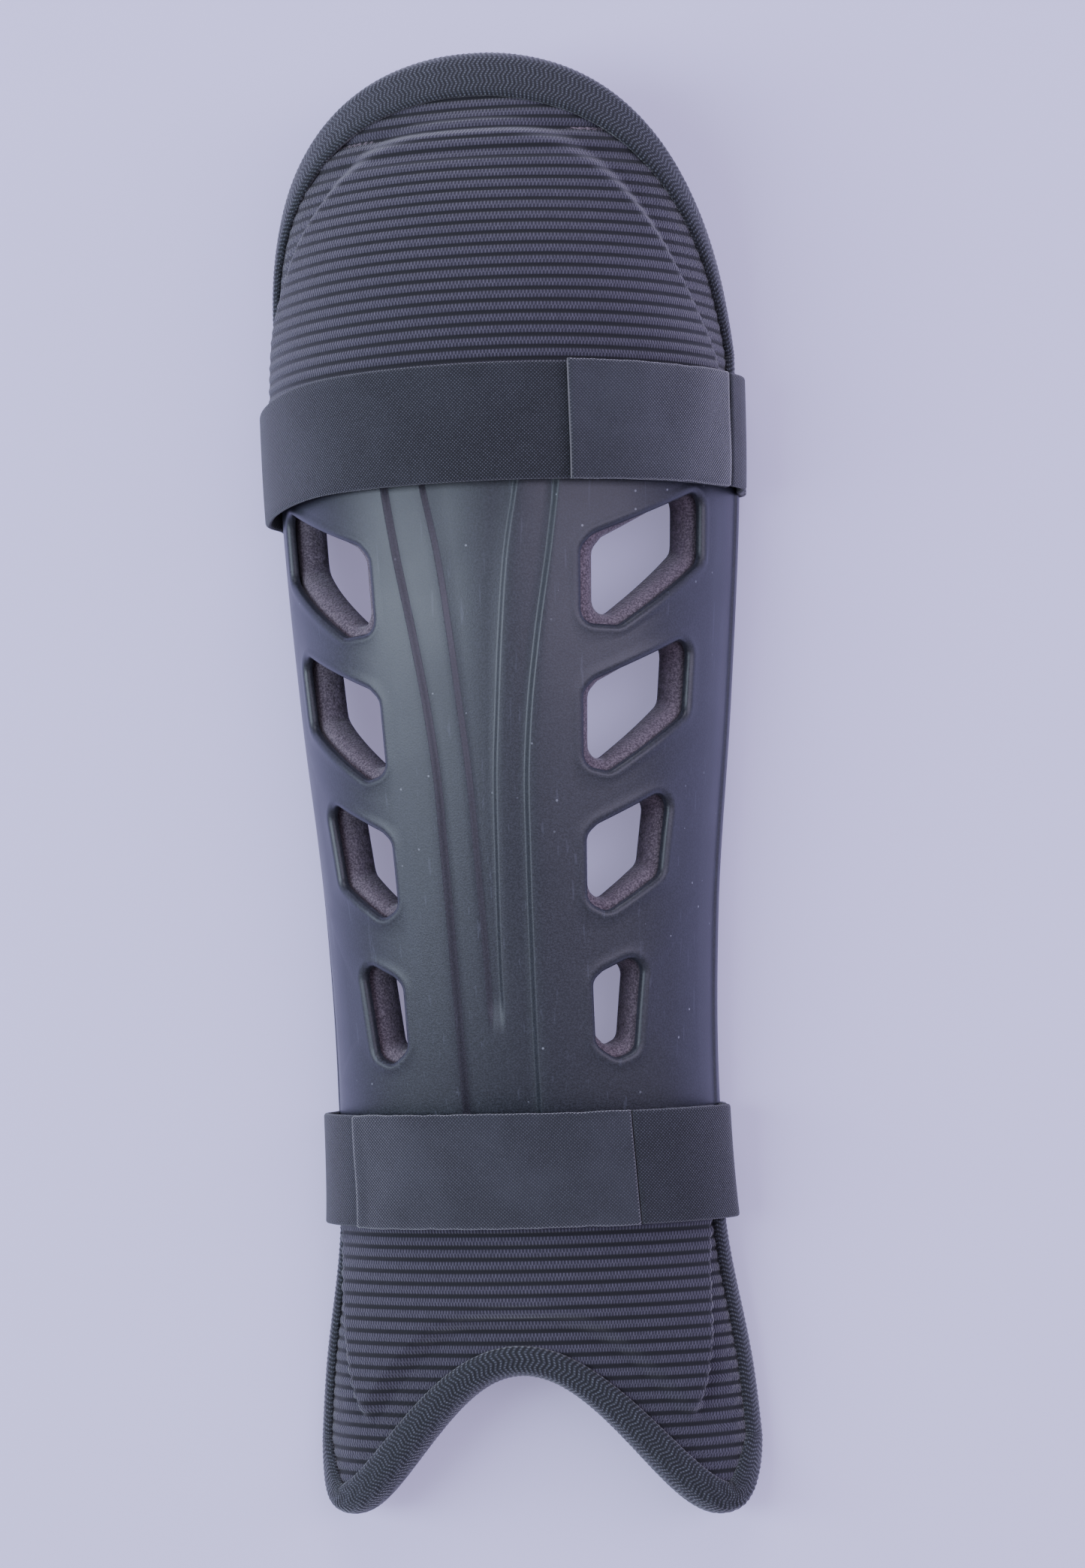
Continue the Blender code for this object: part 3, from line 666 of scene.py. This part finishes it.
def ring_patch(border, vent, ledge, foot_ledge, side, profile, radius):
    """Rings of (around, along, drop) from a field's border in to a vent, through its wall, and back out.

    border is the field's edge as places in order. Each of its points is paired with the vent's outline at the
    same angle about the vent's middle. profile lists (offset outwards, drop, wall): drop is below the outer
    face, or where wall is 1 above the inner one.
    """
    corners, girth = vent_corners(vent, ledge, foot_ledge)
    cores, ways = rounded(corners, radius, 720)
    line = cores + radius * ways
    centre = line.mean(axis=0)
    flat = np.stack([np.abs(border[:, 0]) * girth, border[:, 1]], axis=1)
    line_angle = np.unwrap(np.arctan2(*(line - centre).T[::-1]))
    border_angle = np.arctan2(*(flat - centre).T[::-1])
    if line_angle[-1] < line_angle[0]:
        line_angle, cores, ways = line_angle[::-1], cores[::-1], ways[::-1]
    start = line_angle[0]
    wrapped = (border_angle - start) % (2 * np.pi) + start
    whole = np.concatenate([line_angle, [start + 2 * np.pi]])

    def at(values):
        closed = np.vstack([values, values[:1]])
        return np.stack([np.interp(wrapped, whole, closed[:, k]) for k in range(2)], axis=1)

    core, way = at(cores), at(ways)
    way /= np.linalg.norm(way, axis=1)[:, None]
    widest = core + (radius + profile[0][0]) * way
    rings = []
    for share in (0.0, 0.3, 0.62):
        rings.append((flat * (1 - share) + widest * share, 0.0, 0))
    for offset, drop, wall in profile:
        rings.append((core + (radius + offset) * way, drop, wall))
    back = core + (radius + profile[-1][0]) * way
    for share in (0.5, 0.0):
        rings.append((flat * (1 - share) + back * share, 0.0, 1))
    around = np.stack([side * ring[0][:, 0] / girth for ring in rings])
    along = np.stack([ring[0][:, 1] for ring in rings])
    drop = np.array([ring[1] for ring in rings])[:, None] + 0 * along
    wall = np.array([ring[2] for ring in rings])[:, None] + 0 * along
    return around, along, drop, wall


def vented_wall(name, grid, counts, field_columns, lifts, vents, profile, radius, rim_bulge, material):
    """A closed wall with vents: outer and inner grids joined round the rims, and a ring patch in each field.

    lifts(around, along) gives the outer and inner face's lift. Each field is the stretch of grid between two
    row lines and field_columns, and its faces give way to the vent's rings.
    """
    around, along = grid
    rows, columns = around.shape
    outer_lift, inner_lift = lifts(around, along)
    turn = np.linspace(0, np.pi, 7)[1:-1]
    half_wall = (outer_lift - inner_lift)[:, -1:] / 2
    middle = (outer_lift + inner_lift)[:, -1:] / 2
    bulge = rim_bulge / stretch_around(1.0, along[:, -1:])
    rim_around = np.abs(around[:, -1:]) + bulge * np.sin(turn)
    rim_lift = middle + half_wall * np.cos(turn)
    rim_along = np.repeat(along[:, -1:], len(turn), axis=1)
    loop_around = np.concatenate([around, rim_around, around[:, ::-1], -rim_around[:, ::-1]], axis=1)
    loop_along = np.concatenate([along, rim_along, along[:, ::-1], rim_along], axis=1)
    loop_lift = np.concatenate([outer_lift, rim_lift, inner_lift[:, ::-1], rim_lift[:, ::-1]], axis=1)
    rim_depth = np.repeat(turn[None] / np.pi, rows, axis=0)
    depth = np.concatenate([0 * around, rim_depth, 0 * around + 1, rim_depth[:, ::-1]], axis=1)
    loop = loop_around.shape[1]
    points = [skin(loop_around, loop_along, loop_lift).reshape(-1, 3)]
    fleece = [depth.reshape(-1)]
    keep = np.ones((rows - 1, loop), dtype=bool)
    faces = grid_faces(rows, loop, wrap_columns=True)

    def back_of(column):
        return columns + len(turn) + (columns - 1 - column)

    extra = []
    count = rows * loop
    row_starts = np.cumsum([counts[0]] + list(counts[1:-1]))
    for k, (vent, share) in enumerate(vents):
        low, high = row_starts[k], row_starts[k + 1]
        for side in (-1, 1):
            left, right = field_columns
            if side < 0:
                left, right = columns - 1 - right, columns - 1 - left
            keep[low:high, left:right] = False
            keep[low:high, back_of(right) : back_of(left)] = False
            wide, tall = right - left, high - low
            r = np.concatenate(
                [np.full(wide, low), np.arange(low, high), np.full(wide, high), np.arange(high, low, -1)]
            )
            c = np.concatenate(
                [np.arange(left, right), np.full(tall, right)]
                + [np.arange(right, left, -1), np.full(tall, left)]
            )
            border = np.stack([around[r, c], along[r, c]], axis=1)
            ledges = (LEDGE * share, FOOT_LEDGE * (share > 0))
            u, s, drop, wall = ring_patch(border, vent, *ledges, side, profile, radius)
            face_lift, back_lift = lifts(u, s)
            lift = np.where(wall > 0, back_lift + drop, face_lift - drop)
            ring_points = skin(u, s, lift)[1:-1]
            inside = count + np.arange(ring_points.shape[0] * len(r)).reshape(-1, len(r))
            index = np.concatenate([(r * loop + c)[None], inside, (r * loop + back_of(c))[None]])
            closed = np.concatenate([index, index[:, :1]], axis=1)
            patch = np.stack([closed[:-1, :-1], closed[:-1, 1:], closed[1:, 1:], closed[1:, :-1]], axis=-1)
            extra.append(patch.reshape(-1, 4))
            points.append(ring_points.reshape(-1, 3))
            share_down = np.clip((face_lift - lift) / (face_lift - back_lift), 0, 1)[1:-1]
            fleece.append(share_down.reshape(-1))
            count += ring_points.shape[0] * len(r)
    body = faces[keep]
    ends = []
    for row in (0, rows - 1):
        c = np.arange(columns - 1)
        b = back_of(c)
        first_of_row = row * loop
        ends.append(first_of_row + np.stack([c, c + 1, b - 1, b], axis=-1))
        for first, last in ((columns - 1, back_of(columns - 1)), (back_of(0), loop)):
            span = np.arange(first, last + 1) % loop
            for q in range((len(span) - 1) // 2):
                near, far = span[q : q + 2], span[::-1][q : q + 2]
                ends.append(first_of_row + np.array([[near[0], near[1], far[1], far[0]]]))
    everything = np.concatenate([body] + extra + ends)
    depths = {"fleece": np.concatenate(fleece)}
    item = put(name, np.concatenate(points), everything, attributes=depths, material=material)
    tidy(item, merge=1e-6)
    return item


def shell_columns(along):
    """The right-hand half's columns: fine over the recess's two walls and the bead, even between them."""
    share = along / GUARD_LENGTH
    run = WALL_RUN / stretch_around(0.0, along)
    outer = smooth_column(RECESS, 1, share)
    inner = smooth_column(RECESS, 2, share)
    fine = np.array([0, 0.12, 0.3, 0.5, 0.7, 0.88, 1.0])
    lines = [0 * along, inner * 0.55]
    lines += [inner + run * part for part in fine]
    lines += [inner + run + (outer - inner - run) * part for part in (0.25, 0.5, 0.75)]
    lines += [outer + run * part for part in fine]
    near = outer + run
    lines += [near + (FIELD_SIDES[0] - near) * part for part in (0.25, 0.5, 0.75)]
    lines += [0 * along + value for value in np.linspace(*FIELD_SIDES, FIELD_COLUMNS + 1)]
    rim = stretch_around(1.0, along)
    bead = 1 - BEAD_WIDTH / rim
    far = FIELD_SIDES[1]
    lines += [far + (bead - BEAD_RUN / rim - far) * part for part in (0.3, 0.6, 0.85, 1.0)]
    lines += [bead - BEAD_RUN / rim * part for part in (0.75, 0.5, 0.25, 0.0)]
    lines += [bead + (1 - bead) * part for part in (0.3, 0.55, 0.75, 0.88, 1.0)]
    return np.stack(lines, axis=-1)


def shell_lifts(around, along):
    """The shell's faces: 2 mm apart, with the recess pressed in and a bead along the rims."""
    from_rim = (1 - np.abs(around)) * stretch_around(1.0, along)
    bead = BEAD_RISE * (1 - smooth_step(BEAD_WIDTH, BEAD_WIDTH + BEAD_RUN, from_rim))
    face = SHELL_SEAT + SHELL_WALL - recess(around, along)
    return face + bead, face - SHELL_WALL


def make_shell():
    grid = vented_grid(shell_ankle_edge, shell_knee_edge, shell_columns, FIELD_COUNTS)
    columns = grid[0].shape[1]
    middle = columns // 2
    first = middle + 2 - 1 + 7 + 3 + 7 + 3
    profile = (
        (2.6 * MM, 0.0, 0),
        (1.9 * MM, -0.10 * MM, 0),
        (1.4 * MM, -0.16 * MM, 0),
        (1.0 * MM, -0.12 * MM, 0),
        (0.60 * MM, 0.03 * MM, 0),
        (0.28 * MM, 0.25 * MM, 0),
        (0.08 * MM, 0.58 * MM, 0),
        (0.0, 1.0 * MM, 0),
        (0.0, 0.35 * MM, 1),
        (0.12 * MM, 0.10 * MM, 1),
        (0.40 * MM, 0.0, 1),
        (1.6 * MM, 0.0, 1),
    )
    vents = [(vent, 0.0) for vent in VENTS[::-1]]
    shell = vented_wall(
        "moulded_shell", grid, FIELD_COUNTS, (first, first + FIELD_COLUMNS), shell_lifts, vents,
        profile, VENT_CORNER, 0.9 * MM, PLASTIC,
    )
    belong(shell, "shell")
    return shell


def liner_columns(along):
    """The liner's right-hand columns: even, with the same field sides as the shell's."""
    near = np.linspace(0, FIELD_SIDES[0], 15)[:-1]
    field = np.linspace(*FIELD_SIDES, FIELD_COLUMNS + 1)
    far = np.linspace(FIELD_SIDES[1], 1, 9)[1:]
    lines = np.concatenate([near, field, far])
    return np.repeat(lines[None], len(along), axis=0)


def liner_lifts(around, along):
    """The liner's faces: it thins towards its edge, and sinks behind the shell's recess."""
    bevel = smooth_step(0, LINER_BEVEL, edge_distance(around, along))
    wall = LINER_EDGE_WALL + (LINER_WALL - LINER_EDGE_WALL) * bevel
    wide = smooth_column(RECESS, 1, along / GUARD_LENGTH) + 2.6 * MM / stretch_around(0.0, along)
    sunk = (RECESS_DEPTH + GROOVE_DEPTH) * (1 - smooth_step(wide - 0.03, wide + 0.012, np.abs(around)))
    return -sunk, -wall


def make_liner():
    def low(around):
        return inset_edge(ankle_edge, around, CLEARANCE)

    def high(around):
        return inset_edge(knee_edge, around, CLEARANCE)

    grid = vented_grid(low, high, liner_columns, FIELD_COUNTS)
    middle = grid[0].shape[1] // 2
    profile = (
        (3.2 * MM, 0.0, 0),
        (2.4 * MM, 0.12 * MM, 0),
        (1.6 * MM, 0.42 * MM, 0),
        (0.9 * MM, 0.95 * MM, 0),
        (0.35 * MM, 1.75 * MM, 0),
        (0.05 * MM, 2.7 * MM, 0),
        (-0.1 * MM, 3.4 * MM, 0),
        (-0.25 * MM, 1.9 * MM, 1),
        (-0.25 * MM, 1.1 * MM, 1),
        (0.0, 0.5 * MM, 1),
        (0.5 * MM, 0.12 * MM, 1),
        (1.3 * MM, 0.0, 1),
    )
    vents = list(zip(VENTS, LEDGE_SHARES))[::-1]
    liner = vented_wall(
        "foam_liner", grid, FIELD_COUNTS, (middle + 14, middle + 14 + FIELD_COLUMNS), liner_lifts, vents,
        profile, VENT_CORNER, 1.2 * MM, FOAM,
    )
    belong(liner, "liner")
    return liner


# Covers and bindings


def knee_band(around):
    """The knee binding's width: it narrows from the middle towards the rims."""
    return KNEE_BAND * (1 - KNEE_BAND_TAPER * smooth_step(0.15, 0.85, np.abs(around)))


def ankle_band(around):
    return 0 * around + ANKLE_BAND


def knee_binding_edge(around):
    return inset_edge(knee_edge, around, knee_band(around))


def ankle_binding_edge(around):
    return inset_edge(ankle_edge, around, ANKLE_BAND)


def cover_lift(around, along, edge, shell_edge):
    """The cover's underside: on the shell, and down on the liner between the shell's edge and the binding."""
    side = -1 if edge is knee_edge else 1
    past_shell = side * (shell_edge(around) - along)
    over = 1 - smooth_step(-1.5 * MM, 4.5 * MM, past_shell)
    return CLEARANCE + (SHELL_SEAT + SHELL_WALL + COVER_SLACK) * over


def make_cover(name, node, low, high, edge, shell_edge, pitch, rim, rows, columns, material, creases=()):
    """A ribbed cloth from low to high: the ribs stand at even places along, as rounded crests."""
    share = np.linspace(0, 1, rows)[:, None]
    spread = np.sin(np.linspace(-1, 1, columns) * np.pi / 2 * 0.86) / np.sin(np.pi / 2 * 0.86)
    around = np.repeat(rim * spread[None], rows, axis=0)
    along = low(around) * (1 - share) + high(around) * share
    under = cover_lift(around, along, edge, shell_edge)
    phase = np.pi * along / pitch
    ribs = 0.42 * MM * (np.abs(np.sin(phase)) ** 0.8 - 0.5)
    for place, depth, reach in creases:
        under = under - depth * hump(along, place, reach) * (1 - smooth_step(0.45, 0.8, np.abs(around)))
    wander = 0.25 * MM * np.sin(along * 190 + 2.1 * around) * np.sin(around * 9.0 + along * 41)
    lift = under + COVER_WALL + ribs + wander * smooth_step(0, 12 * MM, edge_distance(around, along) - 4 * MM)
    points = skin(around, along, lift)
    across = running(points, 1)
    across = across - across[:, columns // 2 : columns // 2 + 1]
    item = put(
        name, points, grid_faces(rows, columns), corners=grid_corners(across, along), material=material
    )
    tidy(item)
    wall = item.modifiers.new("wall", "SOLIDIFY")
    wall.thickness = COVER_WALL * 0.8
    wall.offset = -1
    belong(item, node)
    return item


def make_knee_cover():
    return make_cover(
        "knee_cover", "upper_cover",
        lambda around: 0 * around + UPPER_STRAP_PLACE,
        lambda around: np.maximum(knee_binding_edge(around) + COVER_TUCK, UPPER_STRAP_PLACE + 1 * MM),
        knee_edge, shell_knee_edge, KNEE_RIB, 0.95, 170, 120, KNEE_KNIT,
        creases=((302.5 * MM, 1.3 * MM, 2.2 * MM), (296.5 * MM, 0.7 * MM, 1.8 * MM)),
    )


def make_ankle_cover():
    return make_cover(
        "ankle_cover", "lower_cover",
        lambda around: np.minimum(ankle_binding_edge(around) - COVER_TUCK, LOWER_STRAP_PLACE - 2 * MM),
        lambda around: 0 * around + LOWER_STRAP_PLACE,
        ankle_edge, shell_ankle_edge, ANKLE_RIB, 0.95, 170, 120, ANKLE_KNIT,
    )


def edge_route(edge, rim_end, spacing):
    """The padding's edge as even steps of (around, along): up one rim, over the end, and down the other."""
    turn = np.sin(np.linspace(-1, 1, 900) * np.pi / 2)
    corner = edge(np.ones(1))[0]
    rim = np.linspace(rim_end, corner, 60, endpoint=False)
    around = np.concatenate([np.full(60, -1.0), turn, np.full(60, 1.0)])
    along = np.concatenate([rim, edge(turn), rim[::-1]])
    points = skin(around, along, 0.0)
    run = running(points, 0)
    at = np.linspace(0, run[-1], int(run[-1] / spacing))
    return np.interp(at, run, around), np.interp(at, run, along), at


def make_binding(name, node, edge, rim_end, band, leg_lift, rib, back_width):
    """A tape folded round the edge: a closed section carried along it, ribbed by a wave along its run."""
    around, along, run = edge_route(edge, rim_end, rib / 5)
    unit = stretch_around(around, along)
    forward_around = np.gradient(around) * unit
    forward_along = np.gradient(along)
    smooth = np.hanning(25) / np.hanning(25).sum()

    def soften(values):
        return np.convolve(np.pad(values, 12, mode="edge"), smooth, mode="valid")

    forward_around, forward_along = soften(forward_around), soften(forward_along)
    length = np.hypot(forward_around, forward_along)
    turn = 1 if edge is knee_edge else -1
    in_around = turn * forward_along / length / unit
    in_along = -turn * forward_around / length

    width = band(around)[:, None]
    back = -LINER_EDGE_WALL - CLEARANCE
    front = leg_lift
    middle = (front + back) / 2
    half = (front - back) / 2
    angle = np.linspace(0, np.pi, 11)
    share = np.linspace(1, 0, 8)[:-1]
    # inward, lift: the front leg, the roll round the edge, the back leg, and the inside of the fold
    leg_in = share[None] * (width - TAPE_ROUND) + TAPE_ROUND
    crown = np.sin(share * np.pi) * 0.35 * MM
    lip = np.where(share > 0.99, -0.55 * MM, 0.0)
    leg_up = (front + TAPE_WALL + crown + lip)[None] + 0 * leg_in
    roll_in = TAPE_ROUND - (TAPE_ROUND + CLEARANCE + TAPE_WALL) * np.sin(angle)[None] + 0 * width
    roll_up = middle + (half + TAPE_WALL) * np.cos(angle)[None] + 0 * width
    back_in = (1 - share[None]) * (back_width - TAPE_ROUND) + TAPE_ROUND + 0 * width
    back_up = back - TAPE_WALL - 0.9 * MM * (1 - share[None]) + 0 * width
    fold = -0.6 * CLEARANCE
    inner_in = np.array([back_width, TAPE_ROUND, fold, fold, TAPE_ROUND])[None] + 0 * width
    inner_up = np.array([back - 0.9 * MM, back, back + 0.3 * MM, front - 0.3 * MM, front])[None] + 0 * width
    last_in = width
    last_up = front - 0.2 * MM + 0 * width
    inward = np.concatenate([leg_in, roll_in, back_in, inner_in, last_in], axis=1)
    lift = np.concatenate([leg_up, roll_up, back_up, inner_up, last_up], axis=1)
    outside = np.concatenate([np.ones(len(share) + len(angle) + len(share)), np.zeros(6)])
    wave = np.abs(np.sin(np.pi * run / rib)) ** 0.7 - 0.5
    swell = 0.16 * MM * wave[:, None] * outside[None]
    towards_in = np.gradient(inward, axis=1)
    towards_up = np.gradient(lift, axis=1)
    size = np.hypot(towards_in, towards_up) + 1e-9
    inward = inward - swell * towards_up / size
    lift = lift + swell * towards_in / size
    place_around = around[:, None] + inward * in_around[:, None]
    points = skin(place_around, along[:, None] + inward * in_along[:, None], lift)
    rows, sides = points.shape[:2]
    across = running(np.concatenate([points, points[:, :1]], axis=1), 1)
    down = np.repeat(run[:, None], sides + 1, axis=1)
    faces = grid_faces(rows, sides, wrap_columns=True)
    item = put(name, points, faces, corners=grid_corners(across, down), material=TAPE)
    close_ends(item, rows, sides)
    tidy(item)
    belong(item, node)
    return item


def close_ends(item, rows, sides):
    """Fills the first and the last ring of a tube."""
    solid = bmesh.new()
    solid.from_mesh(item.data)
    solid.verts.ensure_lookup_table()
    for ring in (range(sides), range((rows - 1) * sides, rows * sides)):
        solid.faces.new([solid.verts[k] for k in ring])
    solid.to_mesh(item.data)
    solid.free()


# Straps


def strap_lifts(around):
    """The lifts of a strap's inner face: of its first turn on the cover, and of its end over that turn."""
    on_shell = SHELL_SEAT + SHELL_WALL + CLEARANCE
    on_cover = on_shell + COVER_SLACK + 1.0 * MM + RIB_RISE + CLEARANCE
    hug = smooth_step(*STRAP_HUG, np.abs(around))
    first = on_cover + (on_shell - on_cover) * hug
    over = smooth_step(STRAP_HUG[1], STRAP_START + 0.03, np.abs(around))
    return first, first + (STRAP_WALL + CLEARANCE) * over


def band_section(width, wall):
    """A band's section as (across, depth): flat faces, and selvedges turned by half circles."""
    radius = wall / 2
    turn = np.linspace(-np.pi / 2, np.pi / 2, 7)
    flat = np.linspace(-1, 1, 15)[1:-1] * (width / 2 - radius)
    across = np.concatenate([width / 2 - radius + radius * np.cos(turn), flat[::-1]])
    depth = np.concatenate([radius + radius * np.sin(turn), 0 * flat + wall])
    across = np.concatenate([across, -(width / 2 - radius) - radius * np.cos(turn), flat])
    depth = np.concatenate([depth, radius - radius * np.sin(turn), 0 * flat])
    return across, depth


def band(around, along, lift, section, wave, droop=0.0):
    """A band carried round the skin: its section's across runs along the guard, its depth outwards."""
    across, depth = section
    fall = np.broadcast_to(droop, around.shape)[:, None]
    place = along + fall + across[None]
    return skin(around[:, None], place, lift[:, None] + depth[None] + wave(around[:, None], across[None]))


def corner_path(side, along, lift, section, turn):
    """The band round a rim: a quarter of an ellipse from the skin's side to the flat back span."""
    across, depth = section
    floor = strap_floor()
    place = along + across
    out = half_width(along) + lift + depth
    rim = rim_height(np.full_like(across, along))
    fall = rim - floor - STRAP_WALL + depth
    turn = turn[:, None]
    x = out[None] - (STRAP_CORNER + depth[None]) * (1 - np.cos(turn))
    z = rim[None] - fall[None] * np.sin(turn)
    return np.stack([side * x, 0 * x + place[None], z], axis=-1) + SHIFT


def make_strap(name, node, along, end, droop=0.0):
    """A loop that starts under its own end, goes over the front to the left, and back round to the right."""
    section = band_section(STRAP_WIDTH, STRAP_WALL)
    under = np.linspace(STRAP_START, -1, 90)
    over = np.linspace(1, end, max(12, int(60 * (1 - end))))

    def sag(u):
        """The upper strap droops towards the left."""
        return -droop * smooth_step(-0.35, -0.95, u)

    def wave(u, a):
        """The slack of elastic: two long waves, which die out at the rims."""
        return 0.18 * MM * np.sin(u * 7 + a * 130) * np.cos(u * 17 - a * 60) * (1 - np.abs(u))

    front = band(under, along, strap_lifts(under)[0], section, wave, droop=sag(under))
    back = band(over, along, strap_lifts(over)[1], section, wave)
    turn = np.radians(np.linspace(9, 90, 10))
    left = corner_path(-1, along, strap_lifts(1.0)[0], section, turn)
    left[..., 1] += sag(-1.0) * (np.cos(turn)[:, None] ** 2)
    right = corner_path(1, along, strap_lifts(1.0)[0], section, turn[::-1])
    span = left[-1][None] + (right[0] - left[-1])[None] * np.linspace(0, 1, 14)[1:-1, None, None]
    points = np.concatenate([front, left, span, right, back])
    rows, sides = points.shape[:2]
    middle = running(points[:, :1], 0)
    across, depth = section
    loop = np.concatenate([running(np.stack([across, depth], axis=1)[:, :], 0), [2 * STRAP_WIDTH]])
    u = np.repeat(loop[None], rows, axis=0)
    v = np.repeat(middle, sides + 1, axis=1)
    faces = grid_faces(rows, sides, wrap_columns=True)
    item = put(name, points, faces, corners=grid_corners(u, v), material=WEBBING)
    close_ends(item, rows, sides)
    tidy(item)
    belong(item, node)
    return item


def make_tab(name, node, along, seam, end, material):
    """The hook end: it lies over the loop's first turn, from its seam to its free end. Its edges fray."""
    seam_gap = CLEARANCE / stretch_around(seam, along)
    section = band_section(STRAP_WIDTH + 0.4 * MM, STRAP_WALL)
    around = np.linspace(seam - seam_gap, end, max(30, int(110 * (seam - end))))
    rng = np.random.default_rng(7)
    lift = strap_lifts(around)[1]
    lift = lift + 0.35 * MM * smooth_step(0.05, 0.0, around - end)

    def wave(u, a):
        return 0.16 * MM * np.sin(u * 11 + a * 90) * np.cos(u * 23 - a * 210)

    points = band(around, along, lift, section, wave)
    edge = np.abs(section[0][None]) > STRAP_WIDTH / 2 - 0.6 * MM
    ragged = np.convolve(rng.normal(0, 1, len(around) + 4), np.ones(5) / 5, mode="valid")
    points[..., 1] += 0.16 * MM * ragged[:, None] * edge * np.sign(section[0])[None]
    rows, sides = points.shape[:2]
    across, depth = section
    loop = np.concatenate([running(np.stack([across, depth], axis=1), 0), [2 * STRAP_WIDTH]])
    u = np.repeat(loop[None], rows, axis=0)
    v = np.repeat(running(points[:, :1], 0), sides + 1, axis=1)
    faces = grid_faces(rows, sides, wrap_columns=True)
    item = put(name, points, faces, corners=grid_corners(u, v), material=material)
    close_ends(item, rows, sides)
    tidy(item)
    belong(item, node)
    return item


# The studio


def make_floor():
    size = 2.4
    corners = np.array([(-size, -size, 0), (size, -size, 0), (size, size, 0), (-size, size, 0)], dtype=float)
    floor = put("studio_floor", corners, np.array([[0, 1, 2, 3]]), material=studio_floor())


def make_light(name, place, target, size, power, colour):
    light = bpy.data.lights.new(name, "AREA")
    light.shape = "RECTANGLE"
    light.size, light.size_y = size
    light.energy = power
    light.color = colour
    item = bpy.data.objects.new(name, light)
    item.location = place
    way = np.array(target, dtype=float) - np.array(place, dtype=float)
    item.rotation_euler = mathutils.Vector(way).to_track_quat("-Z", "Y").to_euler()
    bpy.context.scene.collection.objects.link(item)


def make_lights():
    make_light("key_strip", (-0.78, 0.02, 0.92), (0, 0, 0.04), (0.42, 1.3), 15, (0.72, 0.84, 1.0))
    make_light("right_strip", (0.75, 0.10, 0.75), (0, 0, 0.04), (0.35, 1.3), 7, (0.80, 0.72, 1.0))
    make_light("knee_fill", (0.1, 1.1, 0.8), (0, 0, 0.04), (0.9, 0.6), 6, (0.86, 0.84, 1.0))
    world = bpy.data.worlds.new("studio")
    world.use_nodes = True
    background = world.node_tree.nodes["Background"]
    background.inputs["Color"].default_value = (0.74, 0.70, 0.95, 1)
    background.inputs["Strength"].default_value = 0.55
    bpy.context.scene.world = world


CAMERA_YAW = 11.0
CAMERA_PITCH = -2.34
CAMERA_ROLL = 1.81
CAMERA_DISTANCE = 820 * MM
CAMERA_FOCUS = 4970 / 2088  # the focal length as a share of the picture's height
CAMERA_SHIFT = (59.8 / 2088, 4.4 / 2088)


def make_camera():
    """A camera that looks down on the guard's front, turned by yaw, pitch and roll about its middle."""
    yaw, pitch, roll = np.radians((CAMERA_YAW, CAMERA_PITCH, CAMERA_ROLL))
    turn_yaw = np.array([(np.cos(yaw), 0, -np.sin(yaw)), (0, 1, 0), (np.sin(yaw), 0, np.cos(yaw))])
    turn_pitch = np.array([(1, 0, 0), (0, np.cos(pitch), -np.sin(pitch)), (0, np.sin(pitch), np.cos(pitch))])
    turn_roll = np.array([(np.cos(roll), -np.sin(roll), 0), (np.sin(roll), np.cos(roll), 0), (0, 0, 1)])
    axes = turn_roll @ turn_pitch @ turn_yaw
    middle = SHIFT + np.array([0, GUARD_LENGTH / 2, 28 * MM])
    lens = bpy.data.cameras.new("camera")
    lens.sensor_fit = "VERTICAL"
    lens.sensor_height = 36
    lens.lens = 36 * CAMERA_FOCUS
    lens.shift_x, lens.shift_y = CAMERA_SHIFT
    lens.clip_start = 0.01
    camera = bpy.data.objects.new("camera", lens)
    matrix = mathutils.Matrix(axes.T.tolist()).to_4x4()
    matrix.translation = mathutils.Vector((middle + CAMERA_DISTANCE * axes[2]).tolist())
    camera.matrix_world = matrix
    bpy.context.scene.collection.objects.link(camera)
    bpy.context.scene.camera = camera


make_camera()
make_floor()
make_lights()
make_shell()
make_liner()
make_knee_cover()
make_ankle_cover()
make_binding(
    "knee_binding", "upper_binding", knee_edge, KNEE_BINDING_END,
    knee_band, TAPE_LEG_LIFT, TAPE_RIB, KNEE_BAND_BACK,
)
make_binding(
    "ankle_binding", "lower_binding", ankle_edge, ANKLE_BINDING_END,
    ankle_band, TAPE_LEG_LIFT, TAPE_RIB, ANKLE_BAND_BACK,
)
make_strap("upper_webbing", "upper_strap", UPPER_STRAP_PLACE, UPPER_TAB[0], droop=UPPER_STRAP_DROOP)
make_strap("lower_webbing", "lower_strap", LOWER_STRAP_PLACE, LOWER_TAB[0])
make_tab("upper_tab", "upper_strap_tab", UPPER_STRAP_PLACE, *UPPER_TAB, BRUSHED)
make_tab("lower_tab", "lower_strap_tab", LOWER_STRAP_PLACE, *LOWER_TAB, BRUSHED)
